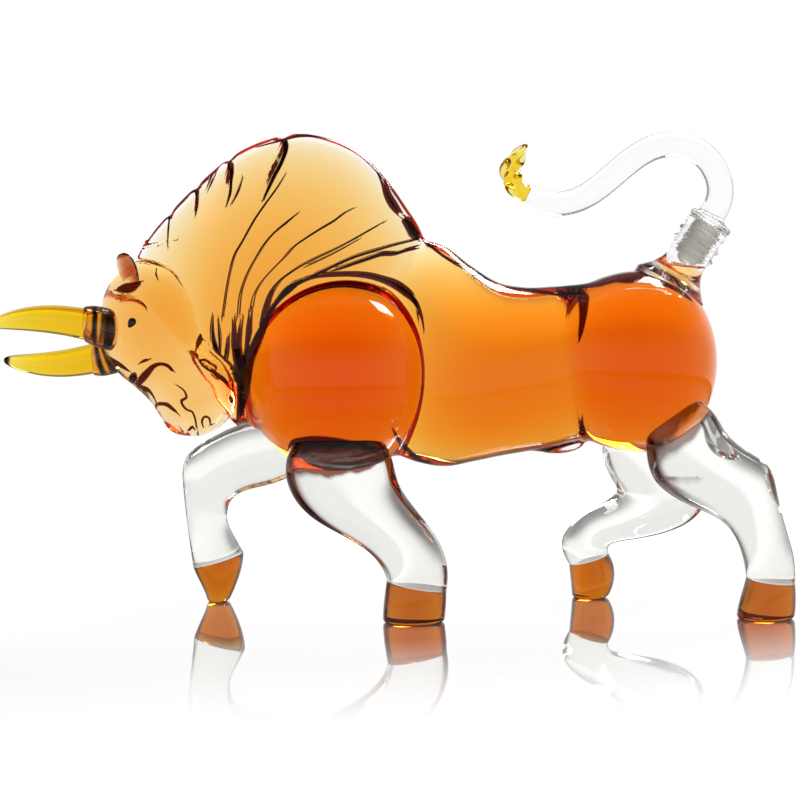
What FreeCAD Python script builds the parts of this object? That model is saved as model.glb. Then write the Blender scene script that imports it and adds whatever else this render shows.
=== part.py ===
import FreeCAD, Part
import math
import os

# A walking bull blown in clear glass: a liquor decanter whose tail is the stopper.
# Five blown sections are welded into one cavity: chest, barrel, rump, hump and head.
# Solid rods make the legs, hooves, horns and ears; a neck on the rump takes a ribbed seal and the tail.
# Millimetres, +Z up, the head towards -X and the bull's left side towards -Y.

# Driving dimensions: the blown vessel
WALL = 2.5
CHEST_RADIUS = 40.7
CHEST_HEIGHT = 100.4
RUMP_DISTANCE = 128.0
RUMP_HEIGHT = 104.8
RUMP_RADIUS = 38.2
RUMP_FRONT_LENGTH = 46.0
RUMP_REAR_LENGTH = 30.3
BARREL_START = 20.0
BARREL_LENGTH = 94.0
BARREL_HEIGHT = 69.7
BARREL_BELLY_HEIGHT = 66.8
BARREL_HALF_WIDTH = 28.0
HUMP_REACH = 129.0
HUMP_HALF_WIDTH = 17.5
MANE_DEPTH = 1.5
MANE_NOTCH = 1.2
THROAT_SETBACK = 39.9
THROAT_HEIGHT = 75.2
THROAT_START = 5.0
THROAT_SOLID = 18.0
SHEATH_DISTANCE = 91.0
SHEATH_HALF_LENGTH = 12.0
SHEATH_HALF_WIDTH = 5.0
SHEATH_DROP = 4.4

# Driving dimensions: the head and what grows on it
HEAD_LENGTH = 78.6
HEAD_DEPTH = 24.5
HEAD_HALF_WIDTH = 21.5
HEAD_POLL_SETBACK = 45.4
HEAD_POLL_HEIGHT = 71.4
HORN_LENGTH = 48.0
HORN_RADIUS = 6.7
HORN_SPACING = 19.0
HORN_BOW = 9.0
COLLAR_LIP = 2.0
EAR_LENGTH = 16.5
EAR_HALF_WIDTH = 4.6
EAR_HALF_THICKNESS = 2.7
EAR_WALL = 1.4
EAR_SPACING = 24.0
EYE_RADIUS = 1.7

# Driving dimensions: legs and hooves
FRONT_LEFT_STRIDE = 31.3
FRONT_RIGHT_STRIDE = 54.6
REAR_LEFT_STRIDE = 49.0
REAR_RIGHT_STRIDE = 21.0
LEG_HALF_DEPTH = 22.5
LEG_HALF_WIDTH = 12.0
HOOF_SPLAY = 4.5
HOOF_HALF_WIDTH = 10.6

# Driving dimensions: pouring neck, seal and tail stopper
NECK_RADIUS = 8.8
NECK_BORE = 6.9
NECK_HEIGHT = 61.5
NECK_SHIFT = 7.8
NECK_FLARE = 3.4
NECK_FLARE_TOP = 44.0
RIM_RADIUS = 9.4
RIM_LENGTH = 3.0
RING_RISE = 1.3
RING_WIDTH = 2.4
RING_PITCH = 4.4
RING_COUNT = 2
SEAL_CLEARANCE = 0.08
SEAL_CORE = 6.0
SEAL_COLLAR_RADIUS = 8.9
SEAL_COLLAR = 1.2
SEAL_RIB_LENGTH = 2.3
SEAL_RIBS = 6
PLUG_RADIUS = 4.6
PLUG_CLEARANCE = 0.05
PLUG_TIP = 4.2
FLANGE_RADIUS = 9.4
FLANGE = 2.6
FLANGE_ROUND = 0.9
TAIL_RADIUS = 5.3
TAIL_RISE = 34.6
TAIL_SWING = 75.0
TUFT_RISE = 21.0
TUFT_SWING = 7.0
TUFT_HALF_WIDTH = 5.4
TUFT_HALF_THICKNESS = 3.0

# Angles in degrees
NECK_TILT = 32.7
HEAD_LEAN = 21.1
HEAD_ROLL = 34.0
TUFT_TWIST = 250.0

Vector = FreeCAD.Vector
SIDE = Vector(0, 1, 0)
UP = Vector(0, 0, 1)
REARWARD = Vector(1, 0, 0)
CHEST = Vector(0, 0, CHEST_HEIGHT)
RUMP = Vector(RUMP_DISTANCE, 0, RUMP_HEIGHT)
THROAT = Vector(-THROAT_SETBACK, 0, THROAT_HEIGHT)
POLL = THROAT + Vector(-HEAD_POLL_SETBACK, 0, HEAD_POLL_HEIGHT)
AROUND = 12
TIGHT = 1e-7


def heading(degrees):
    """Unit direction in the side view: 0 points rearward and 90 points up."""
    return Vector(math.cos(math.radians(degrees)), 0, math.sin(math.radians(degrees)))


NECK_AXIS = heading(90 - NECK_TILT)
NECK_ACROSS = heading(180 - NECK_TILT)
NECK_FOOT = RUMP + NECK_ACROSS * NECK_SHIFT
HEAD_DOWN = heading(HEAD_LEAN - 90)
HEAD_BACK = heading(HEAD_LEAN)


def ring(centre, across, half_across, half_width, side=SIDE):
    """Closed oval of points: half_across along one direction, half_width along the other."""
    points = []
    for step in range(AROUND):
        turn = 2 * math.pi * step / AROUND
        offset = across * (half_across * math.cos(turn)) + side * (half_width * math.sin(turn))
        points.append(centre + offset)
    return points


def mean(points):
    total = Vector(0, 0, 0)
    for point in points:
        total = total + point
    return total * (1 / len(points))


def swollen(row):
    """Control points whose closed curve runs through an oval row of points."""
    middle = mean(row)
    swell = 3 / (2 + math.cos(2 * math.pi / len(row)))
    return [middle + (point - middle) * swell for point in row]


def sharpened(rows):
    """Control rows moved outward so that the surface runs through the rows along its length."""
    moved = list(rows)
    for i in range(2, len(rows) - 2):
        moved[i] = [b * (4 / 3) - (a + c) * (1 / 6) for a, b, c in zip(rows[i - 1], rows[i], rows[i + 1])]
    return moved


def skin(rows, start_tip=None, end_tip=None):
    """Solid under one smooth surface through closed rows; an end is flat, or domed where it has a tip."""
    control = sharpened([swollen(row) for row in rows])
    if start_tip is not None:
        control.insert(0, [start_tip] * AROUND)
    if end_tip is not None:
        control.append([end_tip] * AROUND)
    spans = len(control) - 3
    along = [float(i) for i in range(spans + 1)]
    about = [float(i) for i in range(AROUND + 1)]
    surface = Part.BSplineSurface()
    surface.buildFromPolesMultsKnots(control, [4] + [1] * (spans - 1) + [4], [1] * (AROUND + 1),
                                     along, about, False, True, 3, 3)
    side_face = surface.toShape()
    faces = [side_face]
    for edge in side_face.Edges:
        if edge.isClosed() and not edge.Degenerated:
            faces.append(Part.Face(Part.Wire(edge)))
    solid = Part.Solid(Part.Shell(faces))
    solid.fix(TIGHT, TIGHT, TIGHT)
    return solid


def without(shape, *cutters):
    for cutter in cutters:
        shape = shape.cut(cutter)
    return shape


def turned(points, origin, axis, across):
    """Solid of revolution of a closed outline of (radius, place along the axis) pairs."""
    corners = [origin + across * radius + axis * place for radius, place in points]
    outline = Part.makePolygon(corners + [corners[0]])
    return Part.Face(outline).revolve(origin, axis, 360)


# The blown sections: each form gives its outside, and its cavity when it is inset by the wall

def chest_form(inset):
    return Part.makeSphere(CHEST_RADIUS - inset, CHEST)


def rump_form(inset):
    """Egg lying lengthwise: two half ellipses of one radius, long in front and short behind."""
    points = []
    for step in range(AROUND + 1):
        turn = math.pi * step / AROUND
        half_length = RUMP_FRONT_LENGTH if step < AROUND / 2 else RUMP_REAR_LENGTH
        rise = (RUMP_RADIUS - inset) * math.sin(turn)
        points.append(RUMP + Vector(-math.cos(turn) * (half_length - inset), 0, rise))
    curve = Part.BSplineCurve()
    curve.interpolate(Points=points, InitialTangent=UP, FinalTangent=-UP)
    outline = Part.Wire([curve.toShape(), Part.makeLine(points[-1], points[0])])
    return Part.Face(outline).revolve(RUMP, REARWARD, 360)


# Rows: place along the barrel, belly line and back line over the loin height, half width, narrowing upward
BARREL_SHARES = [
    (0.00, 0.020, 1.20, 0.62, 0.30),
    (0.13, -0.050, 1.28, 0.70, 0.32),
    (0.26, -0.078, 1.25, 0.84, 0.32),
    (0.38, -0.050, 1.13, 0.96, 0.24),
    (0.50, -0.018, 1.030, 1.02, 0.14),
    (0.62, 0.008, 0.998, 1.02, 0.08),
    (0.75, 0.038, 1.002, 1.00, 0.06),
    (0.88, 0.085, 1.008, 0.96, 0.06),
    (1.00, 0.150, 0.960, 0.86, 0.06),
]


def egg(centre, outward, rise, drop, half_width, narrowing):
    """Closed row of points: rise above the centre and drop below it, narrower towards the rise."""
    row = []
    for step in range(AROUND):
        turn = 2 * math.pi * step / AROUND
        lift = math.cos(turn)
        along = lift * (rise if lift > 0 else drop)
        breadth = half_width * math.sin(turn) * (1 - narrowing * lift)
        row.append(centre + outward * along + SIDE * breadth)
    return row


def barrel_form(inset):
    rows = []
    for place, belly, back, width, narrowing in BARREL_SHARES:
        low = BARREL_BELLY_HEIGHT + belly * BARREL_HEIGHT + inset
        high = BARREL_BELLY_HEIGHT + back * BARREL_HEIGHT - inset
        half = (high - low) / 2
        centre = Vector(BARREL_START + place * BARREL_LENGTH, 0, low + half)
        rows.append(egg(centre, UP, half, half, width * BARREL_HALF_WIDTH - inset, narrowing))
    return skin(rows)


# Rows: fan angle about the throat in degrees, reach of the crest, half width
HUMP_SHARES = [
    (41.0, 0.790, 0.84),
    (48.0, 0.872, 0.96),
    (54.5, 0.912, 1.00),
    (61.0, 0.955, 1.02),
    (67.0, 0.990, 1.02),
    (73.0, 1.002, 1.02),
    (79.0, 0.996, 1.00),
    (85.0, 0.963, 0.97),
    (91.5, 0.912, 0.93),
    (98.5, 0.842, 0.86),
    (106.0, 0.778, 0.78),
    (114.0, 0.722, 0.70),
    (121.0, 0.672, 0.63),
    (128.0, 0.590, 0.56),
]
HUMP_WIDEST_SHARE = 0.42
HUMP_CREST_SHARE = 0.22
# Fan angles of the grooves between the locks of the mane, and how far a lock leans back over its reach
MANE_GROOVES = [48.5, 55.0, 63.0, 72.5, 83.0, 92.0, 100.5, 109.0]
MANE_LEAN = 16.0


def hump_at(degrees):
    """Reach and half width of the plain hump at a fan angle, between two rows of its table."""
    for low, high in zip(HUMP_SHARES, HUMP_SHARES[1:]):
        if degrees <= high[0]:
            part = (degrees - low[0]) / (high[0] - low[0])
            return [a + (b - a) * part for a, b in zip(low[1:], high[1:])]
    return list(HUMP_SHARES[-1][1:])


def mane_rows():
    """Fan angle, groove strength: each groove is a row, with two rows across the lock between grooves."""
    stops = [HUMP_SHARES[0][0]] + MANE_GROOVES + [HUMP_SHARES[-1][0]]
    rows = [(stops[0], 0)]
    for low, high in zip(stops, stops[1:]):
        step = (high - low) / 3
        rows.append((low + step, 0))
        rows.append((high - step, 0))
        rows.append((high, 1 if high in MANE_GROOVES else 0))
    return rows


def hump_form(inset, start, grooved):
    """Fan of upright eggs about the throat; grooves part it into the locks of the mane."""
    rows = []
    first = HUMP_SHARES[0][0]
    last = HUMP_SHARES[-1][0]
    for degrees, groove in mane_rows():
        reach, width = hump_at(degrees)
        depth = groove * grooved
        far = reach * HUMP_REACH - inset - depth * MANE_NOTCH
        drop = (far - start) * HUMP_WIDEST_SHARE
        half_width = width * HUMP_HALF_WIDTH - inset - depth * MANE_DEPTH
        lean = MANE_LEAN * math.sin(math.pi * (degrees - first) / (last - first))
        middle = Vector(start + drop, 0, 0)
        flat = egg(middle, REARWARD, far - start - drop, drop, half_width, HUMP_CREST_SHARE)
        row = []
        for point in flat:
            outward = heading(degrees + lean * (1 - point.x / far))
            row.append(THROAT + outward * point.x + SIDE * point.y)
        rows.append(row)
    return skin(rows)


# Rows: place along the head, forehead edge and jaw edge over the depth, half width
HEAD_SHARES = [
    (0.00, -0.36, 0.30, 0.40),
    (0.06, -0.62, 0.58, 0.72),
    (0.16, -0.83, 0.75, 0.92),
    (0.28, -0.96, 0.82, 1.00),
    (0.40, -1.00, 0.80, 0.99),
    (0.51, -0.93, 0.68, 0.88),
    (0.62, -0.76, 0.68, 0.77),
    (0.74, -0.60, 0.80, 0.76),
    (0.86, -0.52, 0.81, 0.74),
    (0.95, -0.44, 0.70, 0.64),
    (1.00, -0.24, 0.48, 0.40),
]


def head_form(inset):
    """Skull and muzzle: ovals square to the line from the poll to the nose, domed at both ends."""
    rows = []
    for place, forehead, jaw, width in HEAD_SHARES:
        low = forehead * HEAD_DEPTH + inset
        high = jaw * HEAD_DEPTH - inset
        along = HEAD_DOWN * (inset + place * (HEAD_LENGTH - 2 * inset))
        centre = POLL + along + HEAD_BACK * ((low + high) / 2)
        rows.append(ring(centre, HEAD_BACK, (high - low) / 2, width * HEAD_HALF_WIDTH - inset))
    return skin(rows, mean(rows[0]), mean(rows[-1]))


# The head carries its horns, ears and eyes level and is then rolled to its left
HEAD_CENTRE_SHARE = 0.30
HORN_PLACE_SHARE = 0.345
HORN_DEPTH_SHARE = 0.82
EAR_PLACE_SHARE = 0.19
EAR_DEPTH_SHARE = 0.16
EYE_PLACE_SHARE = 0.425
EYE_DEPTH_SHARE = 0.46
EYE_PROUD_SHARE = 0.35
HORN_SWEEP_SHARE = 0.80


def on_head(place, forward):
    return POLL + HEAD_DOWN * (place * HEAD_LENGTH) - HEAD_BACK * (forward * HEAD_DEPTH)


def rolled(shape):
    level = shape.copy()
    level.rotate(on_head(HEAD_CENTRE_SHARE, 0), REARWARD, -HEAD_ROLL)
    return level


# Rows: place along the horn, radius
HORN_SHARES = [
    (-0.34, 0.78),
    (-0.17, 0.94),
    (0.00, 1.00),
    (0.16, 0.98),
    (0.32, 0.93),
    (0.48, 0.86),
    (0.64, 0.76),
    (0.78, 0.62),
    (0.90, 0.45),
    (0.97, 0.29),
    (1.00, 0.16),
]
# Rows: place along the horn, lip height over the horn
COLLAR_SHARES = [
    (-0.26, 0.40),
    (-0.14, 0.75),
    (-0.03, 1.00),
    (0.04, 1.00),
    (0.10, 0.95),
    (0.16, 0.70),
    (0.20, 0.25),
]


def horn_centre(hand, place):
    """Horns run forward and bow outward like a lyre."""
    root = on_head(HORN_PLACE_SHARE, HORN_DEPTH_SHARE)
    bow = HORN_BOW * math.sin(math.pi * place * HORN_SWEEP_SHARE)
    return root - REARWARD * (place * HORN_LENGTH) + SIDE * (hand * (HORN_SPACING / 2 + bow))


def horn(hand):
    rows = [ring(horn_centre(hand, place), UP, radius * HORN_RADIUS, radius * HORN_RADIUS)
            for place, radius in HORN_SHARES]
    return skin(rows, None, mean(rows[-1]))


def horn_collar(hand):
    rows = []
    for place, lip in COLLAR_SHARES:
        radius = HORN_RADIUS + lip * COLLAR_LIP
        rows.append(ring(horn_centre(hand, place), UP, radius, radius))
    return skin(rows)


# Rows: place along the ear, half width, half thickness
EAR_SHARES = [
    (0.00, 0.50, 0.80),
    (0.20, 0.70, 0.90),
    (0.40, 0.92, 1.00),
    (0.62, 1.00, 1.00),
    (0.82, 0.86, 0.85),
    (0.95, 0.55, 0.60),
    (1.00, 0.28, 0.35),
]
EAR_HOLLOW_SHARE = 0.30
# Directions of the left ear's length and of its open face, as shares along X, outward and up
EAR_LENGTH_SHARES = (-0.34, 0.52, 0.78)
EAR_FACE_SHARES = (-0.80, 0.35, -0.48)


def ear(hand):
    """Leaf standing up and outward, hollowed on its front face into a cup."""
    root = on_head(EAR_PLACE_SHARE, EAR_DEPTH_SHARE) + SIDE * (hand * EAR_SPACING / 2)
    forward, outward, upward = EAR_LENGTH_SHARES
    along = Vector(forward, hand * outward, upward).normalize()
    forward, outward, upward = EAR_FACE_SHARES
    facing = Vector(forward, hand * outward, upward)
    facing = (facing - along * facing.dot(along)).normalize()
    across = along.cross(facing)
    leaf = []
    hollow = []
    for place, width, thickness in EAR_SHARES:
        centre = root + along * (place * EAR_LENGTH)
        leaf.append(ring(centre, across, width * EAR_HALF_WIDTH, thickness * EAR_HALF_THICKNESS, facing))
        reach = EAR_HOLLOW_SHARE + place * (1 - EAR_HOLLOW_SHARE)
        inner = root + along * (reach * EAR_LENGTH - EAR_WALL) + facing * EAR_WALL
        half_width = width * (EAR_HALF_WIDTH - EAR_WALL)
        hollow.append(ring(inner, across, half_width, thickness * EAR_HALF_THICKNESS, facing))
    return skin(leaf, None, mean(leaf[-1])).cut(skin(hollow))


def eye(hand, head):
    """Bead seated on the cheek where a line from the side meets it."""
    inside = on_head(EYE_PLACE_SHARE, EYE_DEPTH_SHARE)
    line = Part.makeLine(inside, inside + SIDE * (hand * HEAD_HALF_WIDTH * 2))
    spot = max((vertex.Point for vertex in line.common(head).Vertexes), key=lambda point: hand * point.y)
    return Part.makeSphere(EYE_RADIUS, spot + SIDE * (hand * EYE_RADIUS * EYE_PROUD_SHARE), SIDE * hand)


# Leg rows: stride, height over the hip, half depth, half width, tilt of the row in degrees
FRONT_HIP_SHARE = 0.354
REAR_HIP_SHARE = 0.424
FRONT_SPREAD_SHARE = 0.5283
REAR_SPREAD_SHARE = 0.5628
FRONT_LEFT_LEG_SHARES = [
    (0.00, 1.000, 0.50, 0.60, 0.0),
    (0.00, 0.880, 0.82, 0.85, 0.0),
    (0.00, 0.772, 0.99, 0.97, 0.0),
    (0.07, 0.640, 0.99, 1.00, 2.7),
    (0.33, 0.515, 0.97, 0.98, 2.7),
    (0.66, 0.415, 0.81, 0.93, 1.3),
    (0.90, 0.320, 0.67, 0.88, -2.4),
    (1.01, 0.227, 0.58, 0.86, -4.0),
    (1.00, 0.173, 0.555, 0.86, -10.7),
]
FRONT_RIGHT_LEG_SHARES = [
    (-0.23, 0.940, 0.30, 0.50, -54.0),
    (-0.37, 0.850, 0.44, 0.70, -54.0),
    (-0.49, 0.790, 0.60, 0.88, -56.0),
    (-0.685, 0.752, 0.65, 0.94, -64.0),
    (-0.89, 0.706, 0.60, 0.94, -59.0),
    (-1.06, 0.635, 0.61, 0.90, -45.0),
    (-1.09, 0.535, 0.52, 0.84, -36.0),
    (-1.08, 0.417, 0.43, 0.80, -18.0),
    (-1.03, 0.306, 0.48, 0.82, -5.5),
    (-1.00, 0.213, 0.507, 0.84, 16.0),
]
REAR_LEFT_LEG_SHARES = [
    (0.20, 1.000, 0.40, 0.60, 14.0),
    (0.25, 0.930, 0.66, 0.82, 16.0),
    (0.293, 0.797, 0.75, 0.98, 22.0),
    (0.453, 0.690, 0.86, 1.00, 22.0),
    (0.679, 0.610, 0.79, 0.96, 27.0),
    (0.832, 0.510, 0.54, 0.90, 25.0),
    (0.945, 0.360, 0.45, 0.86, 12.0),
    (1.00, 0.252, 0.465, 0.86, 4.6),
    (1.00, 0.175, 0.444, 0.86, -7.0),
]
REAR_RIGHT_LEG_SHARES = [
    (-0.18, 0.892, 0.38, 0.60, 2.0),
    (-0.22, 0.763, 0.50, 0.86, 6.0),
    (0.20, 0.630, 0.72, 0.98, 8.0),
    (0.52, 0.510, 0.86, 1.00, -6.0),
    (0.17, 0.418, 0.78, 0.98, -19.0),
    (-0.46, 0.358, 0.59, 0.92, -26.0),
    (-0.95, 0.306, 0.49, 0.88, -26.0),
    (-1.13, 0.246, 0.47, 0.86, -13.5),
    (-1.00, 0.194, 0.391, 0.86, 16.0),
]
# Hoof rows below the leg: shift over the half depth, height over the hip, half depth, half width, tilt
FRONT_LEFT_HOOF_SHARES = [
    (-0.02, 0.120, 0.570, 0.98, -8.0),
    (-0.05, 0.050, 0.580, 1.00, -3.0),
    (-0.06, 0.000, 0.560, 0.96, 0.0),
]
FRONT_RIGHT_HOOF_SHARES = [
    (0.06, 0.150, 0.480, 0.96, 22.0),
    (0.08, 0.070, 0.330, 0.86, 20.0),
    (-0.02, 0.000, 0.210, 0.66, 0.0),
]
REAR_LEFT_HOOF_SHARES = [
    (-0.02, 0.120, 0.480, 0.98, -5.0),
    (-0.08, 0.050, 0.540, 1.00, -2.0),
    (-0.10, 0.000, 0.520, 0.96, 0.0),
]
REAR_RIGHT_HOOF_SHARES = [
    (0.08, 0.140, 0.450, 0.96, 14.0),
    (0.13, 0.060, 0.460, 0.96, 12.0),
    (0.02, 0.000, 0.340, 0.80, 0.0),
]


def limb(hip, stride, leg_shares, hoof_shares):
    """Leg and hoof: ovals down the limb, the two sharing the flat oval where they are welded."""
    hand = math.copysign(1, hip.y)
    rows = []
    for reach, height, depth, width, tilt in leg_shares:
        splay = hand * HOOF_SPLAY * (1 - height)
        centre = Vector(hip.x + reach * stride, hip.y + splay, height * hip.z)
        rows.append(ring(centre, heading(tilt), depth * LEG_HALF_DEPTH, width * LEG_HALF_WIDTH))
    ankle = mean(rows[-1])
    hoof_rows = [rows[-1]]
    for shift, height, depth, width, tilt in hoof_shares:
        centre = Vector(ankle.x + shift * LEG_HALF_DEPTH, hip.y + hand * HOOF_SPLAY, height * hip.z)
        hoof_rows.append(ring(centre, heading(tilt), depth * LEG_HALF_DEPTH, width * HOOF_HALF_WIDTH))
    return skin(rows), skin(hoof_rows)


# Rows: place along the sheath, radius
SHEATH_SHARES = [
    (-1.0, 0.35),
    (-0.8, 0.72),
    (-0.4, 0.96),
    (0.0, 1.00),
    (0.4, 0.96),
    (0.8, 0.72),
    (1.0, 0.35),
]


def sheath():
    centre = Vector(SHEATH_DISTANCE, 0, BARREL_BELLY_HEIGHT + SHEATH_DROP)
    rows = []
    for place, size in SHEATH_SHARES:
        middle = centre + REARWARD * (place * SHEATH_HALF_LENGTH)
        rows.append(ring(middle, UP, size * SHEATH_HALF_WIDTH, size * SHEATH_HALF_WIDTH))
    return skin(rows, mean(rows[0]), mean(rows[-1]))


# The neck, the seal and the tail share one axis; places along it are measured from the rump's middle
RIM_TOP = NECK_HEIGHT
SEAL_TOP = RIM_TOP + SEAL_COLLAR
SEAL_END_SHARE = 0.5
SEAL_LENGTH = SEAL_RIB_LENGTH * (SEAL_RIBS + SEAL_END_SHARE)
FLANGE_TOP = SEAL_TOP + FLANGE
# Rows: rise over the tube and drop from the top of the flare, both over the flare
FLARE_SHARES = [
    (1.00, 2.00),
    (0.60, 1.25),
    (0.25, 0.70),
    (0.00, 0.00),
]
# Rows: rise of a ring and place across its width
RING_SHARES = [
    (0.0, -0.50),
    (1.0, -0.17),
    (1.0, 0.17),
    (0.0, 0.50),
]
RING_TOP_SHARE = 0.4
RIM_ROLL_SHARE = 0.7
# Rows: height of a rib over the sleeve and place over its pitch
RIB_SHARES = [
    (0.0, 0.15),
    (1.0, 0.60),
    (1.0, 0.75),
    (0.0, 0.85),
]
# Rows: radius of the plug's rounded end and place along it
PLUG_SHARES = [
    (0.00, 0.00),
    (0.45, 0.06),
    (0.80, 0.24),
    (0.96, 0.52),
    (1.00, 0.86),
]


def neck():
    """Tube with a rolled rim, thread-like rings below it and a flared foot."""
    outline = [(NECK_BORE, 0), (NECK_RADIUS + NECK_FLARE, 0)]
    for rise, drop in FLARE_SHARES:
        outline.append((NECK_RADIUS + rise * NECK_FLARE, NECK_FLARE_TOP - drop * NECK_FLARE))
    for count in range(RING_COUNT, 0, -1):
        middle = RIM_TOP - RIM_LENGTH - (count - RING_TOP_SHARE) * RING_PITCH
        for rise, place in RING_SHARES:
            outline.append((NECK_RADIUS + rise * RING_RISE, middle + place * RING_WIDTH))
    outline.append((NECK_RADIUS, RIM_TOP - RIM_LENGTH))
    outline.append((RIM_RADIUS, RIM_TOP - RIM_LENGTH * RIM_ROLL_SHARE))
    outline.append((RIM_RADIUS, RIM_TOP))
    outline.append((NECK_BORE, RIM_TOP))
    return turned(outline, NECK_FOOT, NECK_AXIS, NECK_ACROSS)


def neck_bore():
    return Part.makeCylinder(NECK_BORE, RIM_TOP, NECK_FOOT, NECK_AXIS)


def seal():
    """Soft sleeve with ribs that grip the bore and a collar that lies on the rim."""
    bore = PLUG_RADIUS + PLUG_CLEARANCE
    crest = NECK_BORE - SEAL_CLEARANCE
    low = RIM_TOP - SEAL_LENGTH
    outline = [(bore, low), (SEAL_CORE, low)]
    for count in range(SEAL_RIBS):
        for height, place in RIB_SHARES:
            outline.append((SEAL_CORE + height * (crest - SEAL_CORE), low + (count + place) * SEAL_RIB_LENGTH))
    outline.append((SEAL_CORE, RIM_TOP))
    outline.append((SEAL_COLLAR_RADIUS, RIM_TOP))
    outline.append((SEAL_COLLAR_RADIUS, SEAL_TOP))
    outline.append((bore, SEAL_TOP))
    return turned(outline, NECK_FOOT, NECK_AXIS, NECK_ACROSS)


# Rows: swing forward and rise of the tail's middle line from the rim, radius, heading in degrees
TAIL_SHARES = [
    (0.000, 0.080, 1.10, 57.3),
    (-0.040, 0.190, 1.08, 66.0),
    (-0.068, 0.340, 1.06, 80.0),
    (-0.068, 0.520, 1.04, 97.0),
    (-0.040, 0.690, 1.02, 115.0),
    (0.010, 0.840, 1.00, 133.0),
    (0.090, 0.955, 1.00, 157.0),
    (0.185, 1.000, 1.00, 180.0),
    (0.295, 0.965, 1.00, 202.0),
    (0.400, 0.850, 1.00, 217.0),
    (0.500, 0.680, 0.99, 221.0),
    (0.600, 0.500, 0.98, 216.0),
    (0.700, 0.365, 0.97, 205.0),
    (0.800, 0.300, 0.95, 189.0),
    (0.890, 0.305, 0.93, 170.0),
    (0.955, 0.355, 0.88, 158.0),
    (1.000, 0.410, 0.80, 155.0),
]
# Rows: swing and rise of the tuft from the tail's end, half width, half thickness, heading
TUFT_SHARES = [
    (0.620, 0.160, 0.90, 1.00, 138.0),
    (1.000, 0.360, 1.00, 1.00, 110.0),
    (0.980, 0.540, 0.96, 0.95, 84.0),
    (0.740, 0.700, 0.80, 0.85, 66.0),
    (0.420, 0.850, 0.52, 0.65, 62.0),
    (0.160, 0.960, 0.24, 0.35, 64.0),
    (0.060, 1.000, 0.10, 0.14, 64.0),
]


def tail_centre(swing, rise):
    return NECK_FOOT + NECK_AXIS * RIM_TOP + Vector(-swing * TAIL_SWING, 0, rise * TAIL_RISE)


def tail_rows():
    rows = []
    for swing, rise, radius, degrees in TAIL_SHARES:
        size = radius * TAIL_RADIUS
        rows.append(ring(tail_centre(swing, rise), heading(degrees - 90), size, size))
    return rows


def tail():
    """Solid glass stopper: a plug, a flange that lies on the seal and the curved tail rod."""
    tip = RIM_TOP - SEAL_LENGTH - PLUG_TIP
    outline = [(radius * PLUG_RADIUS, tip + place * PLUG_TIP) for radius, place in PLUG_SHARES]
    outline += [(PLUG_RADIUS, SEAL_TOP), (FLANGE_RADIUS - FLANGE_ROUND, SEAL_TOP)]
    outline += [(FLANGE_RADIUS, SEAL_TOP + FLANGE_ROUND), (FLANGE_RADIUS, FLANGE_TOP - FLANGE_ROUND)]
    outline += [(FLANGE_RADIUS - FLANGE_ROUND, FLANGE_TOP), (0, FLANGE_TOP)]
    plug = turned(outline, NECK_FOOT, NECK_AXIS, NECK_ACROSS)
    return plug.fuse(skin(tail_rows())).removeSplitter()


def tuft():
    """Twisted flame at the tail's end, its foot welded to the flat end of the rod."""
    foot = tail_rows()[-1]
    start = mean(foot)
    rows = [foot]
    for swing, rise, width, thickness, degrees in TUFT_SHARES:
        centre = start + Vector(-swing * TUFT_SWING, 0, rise * TUFT_RISE)
        twist = math.radians(TUFT_TWIST * rise)
        lean = heading(degrees - 90)
        across = lean * math.cos(twist) + SIDE * math.sin(twist)
        through = SIDE * math.cos(twist) - lean * math.sin(twist)
        rows.append(ring(centre, across, width * TUFT_HALF_WIDTH, thickness * TUFT_HALF_THICKNESS, through))
    return skin(rows, None, mean(rows[-1]))


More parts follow.
